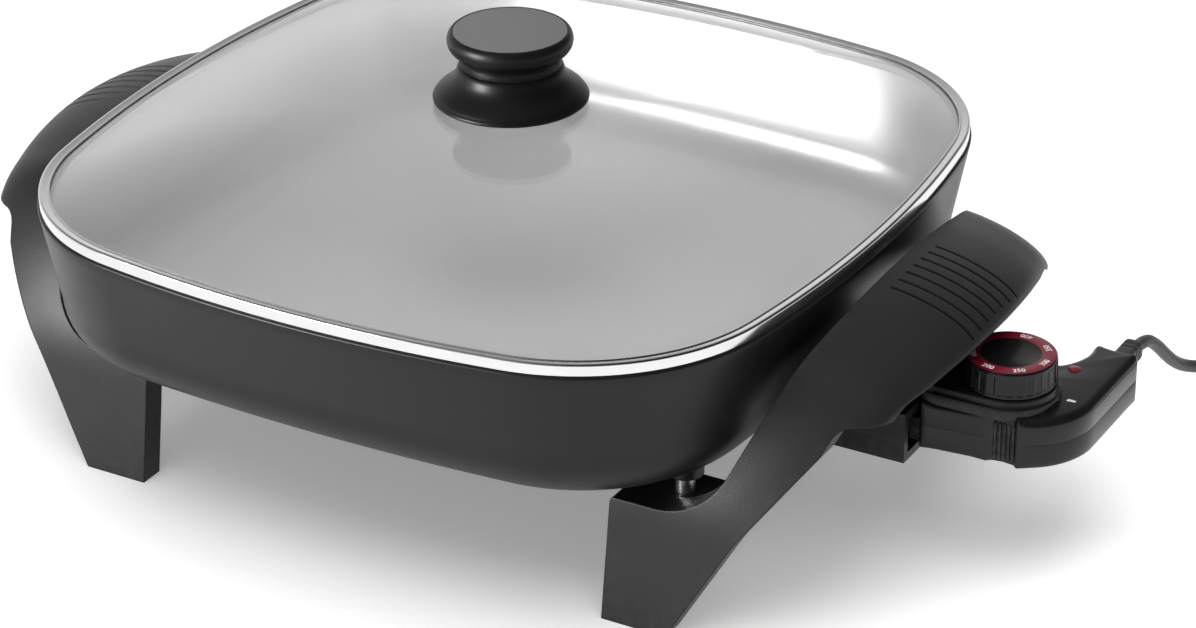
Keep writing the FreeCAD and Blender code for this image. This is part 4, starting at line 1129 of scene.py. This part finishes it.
class SKILLET_OT_lid(bpy.types.Operator):
    """Makes the domed glass and its steel band"""

    bl_idname = "skillet.lid"
    bl_label = "Lid"

    def execute(self, context):
        lid = context.scene.skillet_lid
        glass = clear_glass("Tempered glass", lid.glass)
        steel = metal("Polished band", lid.band, 0.16, stretch=(1.0, 1.0, 60.0), line=160.0)
        edge = bowed_square(lid.half, LID_SIDE, LID_CORNER, OUTLINE_STEPS)
        self.pane(lid, glass, edge)
        self.band(steel, edge)
        return {"FINISHED"}

    def pane(self, lid, material, edge):
        """Glass 3.4 mm thick: a flat flange under the band's lip, then a dome.

        Dome height = rise x (1 - k to the power), where k scales the flange's inner outline from
        1 at its edge down to the knob's hole.
        """
        points, normals = edge
        rim = points - 1.3 * normals
        foot = points - 4.6 * normals
        k = np.concatenate([np.linspace(1.0, 0.86, 9), np.linspace(0.83, 0.05, 26)])[:, None, None]
        rise = lid.dome_rise * (1 - k**lid.dome_power)
        flat = np.concatenate([rim[None], foot[None] * k])
        dome = np.broadcast_to(np.concatenate([np.zeros((1, 1, 1)), rise]), flat.shape[:2] + (1,))
        top = np.concatenate([flat, dome + FLANGE_TOP], axis=2)
        under = np.concatenate([flat, dome + FLANGE_UNDER], axis=2)
        shape = skin(np.concatenate([under[::-1], top]), close_rows=True)
        return piece("lid_pane", [shape], material, "lid", ("lid_glass",), 50)

    def band(self, material, edge):
        """The band's section: an upright wall with rolled edges, a lip over the glass and a skirt inside the pan."""
        section = eased(
            [
                (0.0, 114.0), (0.0, 112.4, 0.45), (4.4, 112.4, 0.3), (4.4, 109.4, 0.25), (5.0, 109.4, 0.25),
                (5.0, 113.0, 0.3), (1.3, 113.0, 0.0), (1.3, 116.4, 0.0), (4.1, 116.4, 0.05),
                (4.1, 116.85, 0.15), (3.5, 116.85, 0.15), (3.3, 116.5, 0.1), (1.0, 117.0, 0.4),
                (0.0, 117.0, 0.8), (0.0, 114.0),
            ]
        )[:-1]
        shape = skin(drawn_in(edge, section[::-1]), close_rows=True)
        return piece("lid_band_ring", [shape], material, "lid", ("lid_band",), 50)


class SKILLET_OT_knob(bpy.types.Operator):
    """Makes the turned knob with its flange, waist, grip and grained face"""

    bl_idname = "skillet.knob"
    bl_label = "Knob"

    def execute(self, context):
        lid = context.scene.skillet_lid
        plastic = moulded("Knob plastic", lid.knob, 0.38, grain=1600.0, depth=0.00003, mottle=0.1, shine=0.25)
        grained = moulded("Knob face", lid.knob_face, 0.62, grain=2400.0, depth=0.00018, mottle=0.16)
        base = [
            (2.8, 136.9), (26.5, 136.9), (28.0, 137.05), (28.9, 137.6), (29.0, 138.3), (28.7, 138.9),
            (28.35, 139.15), (28.2, 139.5), (27.4, 140.5), (26.0, 141.6), (24.2, 142.9), (22.6, 144.2),
            (21.3, 145.7), (20.4, 147.3), (19.9, 148.9), (19.4, 150.3), (18.9, 150.6), (2.8, 150.6),
        ]
        piece("knob_foot", [turned(base, segments=128, close=True)], plastic, "lid", ("knob_base",), 40)
        grip = [
            (0.0, 150.6), (18.5, 150.6), (18.9, 150.9), (19.1, 153.0), (19.0, 153.3), (19.6, 154.9),
            (20.6, 156.0), (22.2, 157.1), (23.0, 158.4), (23.4, 160.2), (23.35, 161.2), (22.9, 162.6),
            (22.3, 163.4), (21.7, 163.85), (21.2, 163.9), (21.1, 163.3), (0.0, 163.3),
        ]
        piece("knob_top", [turned(grip, segments=128)], plastic, "lid", ("knob_grip",), 40)
        disc = [(0.0, 163.3), (21.0, 163.3), (21.0, 163.75), (20.7, 163.9), (0.0, 163.9)]
        piece("knob_face", [turned(disc, segments=128)], grained, "lid", ("knob_face_disc",), 40)
        return {"FINISHED"}


# The heat control and its dial


def control_outline():
    """The housing seen from above: a tapering front, a recessed grip, a round corner, a tail and a bay."""
    corner = arc_through((214.6, -17.8), (226.5, -9.4), (233.0, 9.0), 22)
    bay = arc_through((215.8, 42.0), (212.9, 33.6), (206.5, 26.5), 12)
    corners = [(178.0, -20.0, 1.0), (203.0, -17.6, 1.0), (205.0, -16.0, 0.8), (213.0, -16.0, 0.8)]
    corners += [(x, y, 0.0 if number else 1.2) for number, (x, y) in enumerate(corner)]
    corners += [(233.0, 50.0, 3.0), (215.8, 50.0, 3.0)]
    corners += [(x, y, 0.0) for x, y in bay]
    corners += [(203.0, 17.6, 2.0), (178.0, 20.0, 1.0)]
    return with_normals(refine(soft_corners(corners, 7), 2.0))


def corner_share(points):
    """Share of an inset = 0.22 + distance to the nearest tight corner / 7, at most 1.

    Near a tight corner the whole inset would fold the edge over itself.
    """
    tight = [(178, -20), (203, -17.6), (205, -16), (213, -16), (214.6, -17.8)]
    tight += [(233, 50), (215.8, 50), (206.5, 26.5), (203, 17.6), (178, 20)]
    away = np.linalg.norm(points[:, None, :] - np.array(tight, float)[None, :, :], axis=2).min(axis=1)
    return np.clip(0.22 + away / 7, 0.0, 1.0)


class SKILLET_OT_housing(bpy.types.Operator):
    """Makes the heat control's housing in two halves, with its deck, finger ribs, lens and pointer mark"""

    bl_idname = "skillet.housing"
    bl_label = "Heat control housing"

    def execute(self, context):
        control = context.scene.skillet_control
        plastic = moulded("Housing plastic", control.housing, 0.26, depth=0.000015, sheen_spread=0.03, shine=0.28)
        outline = control_outline()
        share = corner_share(outline[0])
        lower = [(1.6, 47.0), (0.9, 47.15), (0.35, 47.6), (0.1, 48.4), (0.0, 50.0)]
        lower += [(0.0, 56.4), (0.03, 56.48), (0.05, SEAM)]
        shapes = [slab(outline, lower, share)]
        piece("housing_lower", shapes, plastic, "heat_control", ("control_lower_shell",), 40)
        angle = np.linspace(0, math.pi / 2, 8)
        round_top = np.stack([3.2 * (1 - np.cos(angle)), 62.8 + 3.2 * np.sin(angle)], axis=1)
        upper = np.concatenate([[(0.05, SEAM), (0.03, 56.52), (0.0, 56.6)], round_top])
        shapes = [slab(outline, upper, share), slab(self.deck_outline(), self.deck_profile())] + self.ribs()
        piece("housing_upper", shapes, plastic, "heat_control", ("control_upper_shell",), 40)
        self.lens()
        self.pointer(control)
        brass = metal("Spring brass", (0.72, 0.55, 0.25), 0.3)
        dress(["control_nose"], shroud_plastic(control.housing))
        dress(["terminal_clips", "contact_leaf_lower", "contact_leaf_upper", "knob_insert"], brass)
        dress(["sensor_probe"], metal("Probe tube", (0.58, 0.57, 0.55), 0.28, stretch=(30.0, 1.0, 1.0)))
        dress(["housing_screws", "knob_screw", "lid_washer"], zinc_plate())
        dress(["contact_points"], metal("Silver", (0.85, 0.84, 0.8), 0.2))
        dress(["thermostat_block"], ceramic())
        dress(["dial_shaft"], moulded("Natural nylon", (0.62, 0.6, 0.54), 0.45))
        dress(["knob_gasket"], moulded("Silicone seal", (0.03, 0.03, 0.03), 0.6))
        dress(["neon_lamp"], clear_glass("Lamp glass", (0.95, 0.7, 0.55)))
        return {"FINISHED"}

    def deck_outline(self):
        """The raised deck: straight sides from the front and half a circle behind the dial."""
        angle = np.linspace(-math.pi / 2, math.pi / 2, 40)
        radius = 18.5
        arc = np.stack([DIAL_X + radius * np.cos(angle), radius * np.sin(angle)], axis=1)
        points = np.concatenate([arc, [(178.6, 18.5), (178.0, 17.9), (178.0, -17.9), (178.6, -18.5)]])
        return with_normals(refine(points, 3.0))

    def deck_profile(self):
        """A ledge part of the way up, then a rounded top edge."""
        return [
            (0.0, 65.0), (0.0, 68.6), (0.25, 69.1), (0.8, 69.3), (1.0, 69.6), (1.0, 71.0), (1.25, 71.65),
            (1.9, 72.0),
        ]

    def ribs(self):
        """Upright finger ribs in the recess at the front."""
        profile = [(0, 48.4), (0.5, 48.5), (0.7, 49.0), (0.7, 62.6), (0.5, 63.2), (0, 63.4)]
        return [turned(profile, (205.8 + number * 1.75, -16.0), 12) for number in range(5)]

    def lens(self):
        """A low dome of red plastic in a fine collar: radius = 2.35 x cos, height = 66 + 0.7 x sin."""
        red = moulded("Red lens", (0.14, 0.012, 0.012), 0.18, grain=500.0, depth=0.00001)
        angle = np.linspace(0, math.pi / 2, 9)
        dome = np.stack([2.35 * np.cos(angle), 66.0 + 0.7 * np.sin(angle)], axis=1)
        profile = np.concatenate([[(0, 63.2), (2.4, 63.2), (2.4, 66.0)], dome])
        profile[-1, 0] = 0.0
        shapes = [turned(profile, (216.8, 27.8), 40)]
        return piece("lamp_lens", shapes, red, "heat_control", ("indicator_lens",), 40)

    def pointer(self, control):
        """The mark that the dial is read against: a small raised wedge, printed white."""
        paint = white_print(control.marks)
        corners = [(223.6, 4.6, 0.2), (226.8, 5.0, 0.2), (226.8, 6.0, 0.2), (223.6, 6.4, 0.2)]
        shape = slab(with_normals(soft_corners(corners, 4)), [(0.0, 65.9), (0.0, 66.06), (0.05, 66.1)])
        return piece("pointer_mark", [shape], paint, "heat_control", (), 40)


class SKILLET_OT_dial(bpy.types.Operator):
    """Makes the dial with its fluted side, dark red ring and figures"""

    bl_idname = "skillet.dial"
    bl_label = "Dial"

    def execute(self, context):
        control = context.scene.skillet_control
        gloss = moulded("Dial plastic", control.dial, 0.22, grain=900.0, depth=0.000008, mottle=0.08, shine=0.26)
        red = moulded("Dial ring", control.ring, 0.3, grain=900.0, depth=0.000008, mottle=0.2)
        self.cap(control, gloss)
        ring = [(10.9, 81.95), (16.1, 81.95), (16.1, 82.38), (15.9, 82.43), (11.1, 82.43), (10.9, 82.38)]
        shapes = [turned(ring, (DIAL_X, 0), 128, close=True)]
        piece("dial_band", shapes, red, "dial", ("dial_ring",), 40)
        self.marks(context, white_print(control.marks))
        return {"FINISHED"}

    def cap(self, control, material):
        """The cap's side has shallow flats between fine ridges: radius = full - inset + 0.22 x share x flute(angle).

        The profile's columns are inset from the dial's radius, height and share of the flute.
        """
        segments = 360
        angle = np.arange(segments) * 2 * math.pi / segments
        flute = np.clip(np.cos(angle * 30) * 3 - 1.6, 0, 1)
        profile = np.array(
            [
                (2.8, 72.5, 0), (0.8, 72.4, 0), (0.1, 72.6, 0), (0.0, 73.2, 0), (0.2, 73.6, 0.3),
                (0.3, 74.2, 1), (0.45, 78.0, 1), (0.55, 80.4, 1), (0.45, 80.9, 0.3), (0.4, 81.5, 0),
                (0.55, 82.1, 0), (0.9, 82.4, 0), (6.4, 82.4, 0), (6.7, 82.32, 0), (12.0, 82.3, 0),
            ]
        )
        radius = control.dial_radius - profile[:, 0, None] + 0.22 * profile[:, 2, None] * flute[None, :]
        x = DIAL_X + radius * np.cos(angle)[None, :]
        y = radius * np.sin(angle)[None, :]
        grid = np.stack([x, y, np.broadcast_to(profile[:, 1, None], radius.shape)], axis=2)
        shape = skin(grid, cap_first=True, cap_last=True)
        return piece("dial_cap", [shape], material, "dial", ("dial",), 40)

    def marks(self, context, material):
        """Figures round the ring, lying flat, as one thin mesh.

        Figure n stands at an angle of -150 + 48 x n degrees, with its foot towards the edge.
        """
        ring, height = 13.6, 82.46
        parts = []
        start = 0
        for number, word in enumerate(["OFF", "200", "250", "300", "350", "400"]):
            angle = math.radians(-150 + number * 48)
            text = bpy.data.curves.new("figure", "FONT")
            text.body = word
            text.size = 3.1 * MM
            text.align_x = "CENTER"
            text.align_y = "CENTER"
            text.extrude = 0.03 * MM
            holder = bpy.data.objects.new("figure", text)
            context.scene.collection.objects.link(holder)
            context.view_layer.update()
            mesh = bpy.data.meshes.new_from_object(holder.evaluated_get(context.evaluated_depsgraph_get()))
            x = PAN_X + (DIAL_X + ring * math.cos(angle)) * MM
            place = Matrix.Translation((x, ring * math.sin(angle) * MM, height * MM))
            mesh.transform(place @ Matrix.Rotation(angle + math.pi / 2, 4, "Z"))
            bpy.data.objects.remove(holder)
            points, corners, sizes = mesh_arrays(mesh)
            bpy.data.meshes.remove(mesh)
            parts.append((points, corners + start, sizes))
            start += len(points)
        joined = new_mesh("dial_figures", *(np.concatenate(part) for part in zip(*parts)))
        return finish_piece("dial_figures", joined, material, "dial")


PIECES = [
    SKILLET_OT_stage,
    SKILLET_OT_cord,
    SKILLET_OT_pan,
    SKILLET_OT_lid,
    SKILLET_OT_knob,
    SKILLET_OT_brackets,
    SKILLET_OT_terminals,
    SKILLET_OT_housing,
    SKILLET_OT_dial,
]


class SKILLET_PT_panel(bpy.types.Panel):
    """Lists the pieces and their sizes in the sidebar"""

    bl_idname = "SKILLET_PT_panel"
    bl_label = "Electric skillet"
    bl_space_type = "VIEW_3D"
    bl_region_type = "UI"
    bl_category = "Skillet"

    def draw(self, context):
        for operator in PIECES:
            self.layout.operator(operator.bl_idname)
        for name in ("skillet_studio", "skillet_pan", "skillet_lid", "skillet_control"):
            group = getattr(context.scene, name)
            box = self.layout.box()
            for key in group.bl_rna.properties.keys():
                if key not in ("rna_type", "name"):
                    box.prop(group, key)


GROUPS = {
    "skillet_studio": SkilletStudio,
    "skillet_pan": SkilletPan,
    "skillet_lid": SkilletLid,
    "skillet_control": SkilletControl,
}


def register():
    """Makes the sizes, the operators and the panel known to Blender."""
    for group in GROUPS.values():
        bpy.utils.register_class(group)
    for operator in PIECES:
        bpy.utils.register_class(operator)
    bpy.utils.register_class(SKILLET_PT_panel)
    for name, group in GROUPS.items():
        setattr(bpy.types.Scene, name, bpy.props.PointerProperty(type=group))


def unregister():
    """Takes back all that register made."""
    for name in GROUPS:
        delattr(bpy.types.Scene, name)
    bpy.utils.unregister_class(SKILLET_PT_panel)
    for operator in reversed(PIECES):
        bpy.utils.unregister_class(operator)
    for group in reversed(list(GROUPS.values())):
        bpy.utils.unregister_class(group)


def main():
    """Runs every operator in order."""
    register()
    for operator in PIECES:
        area, name = operator.bl_idname.split(".")
        getattr(getattr(bpy.ops, area), name)()


if __name__ == "__main__":
    main()
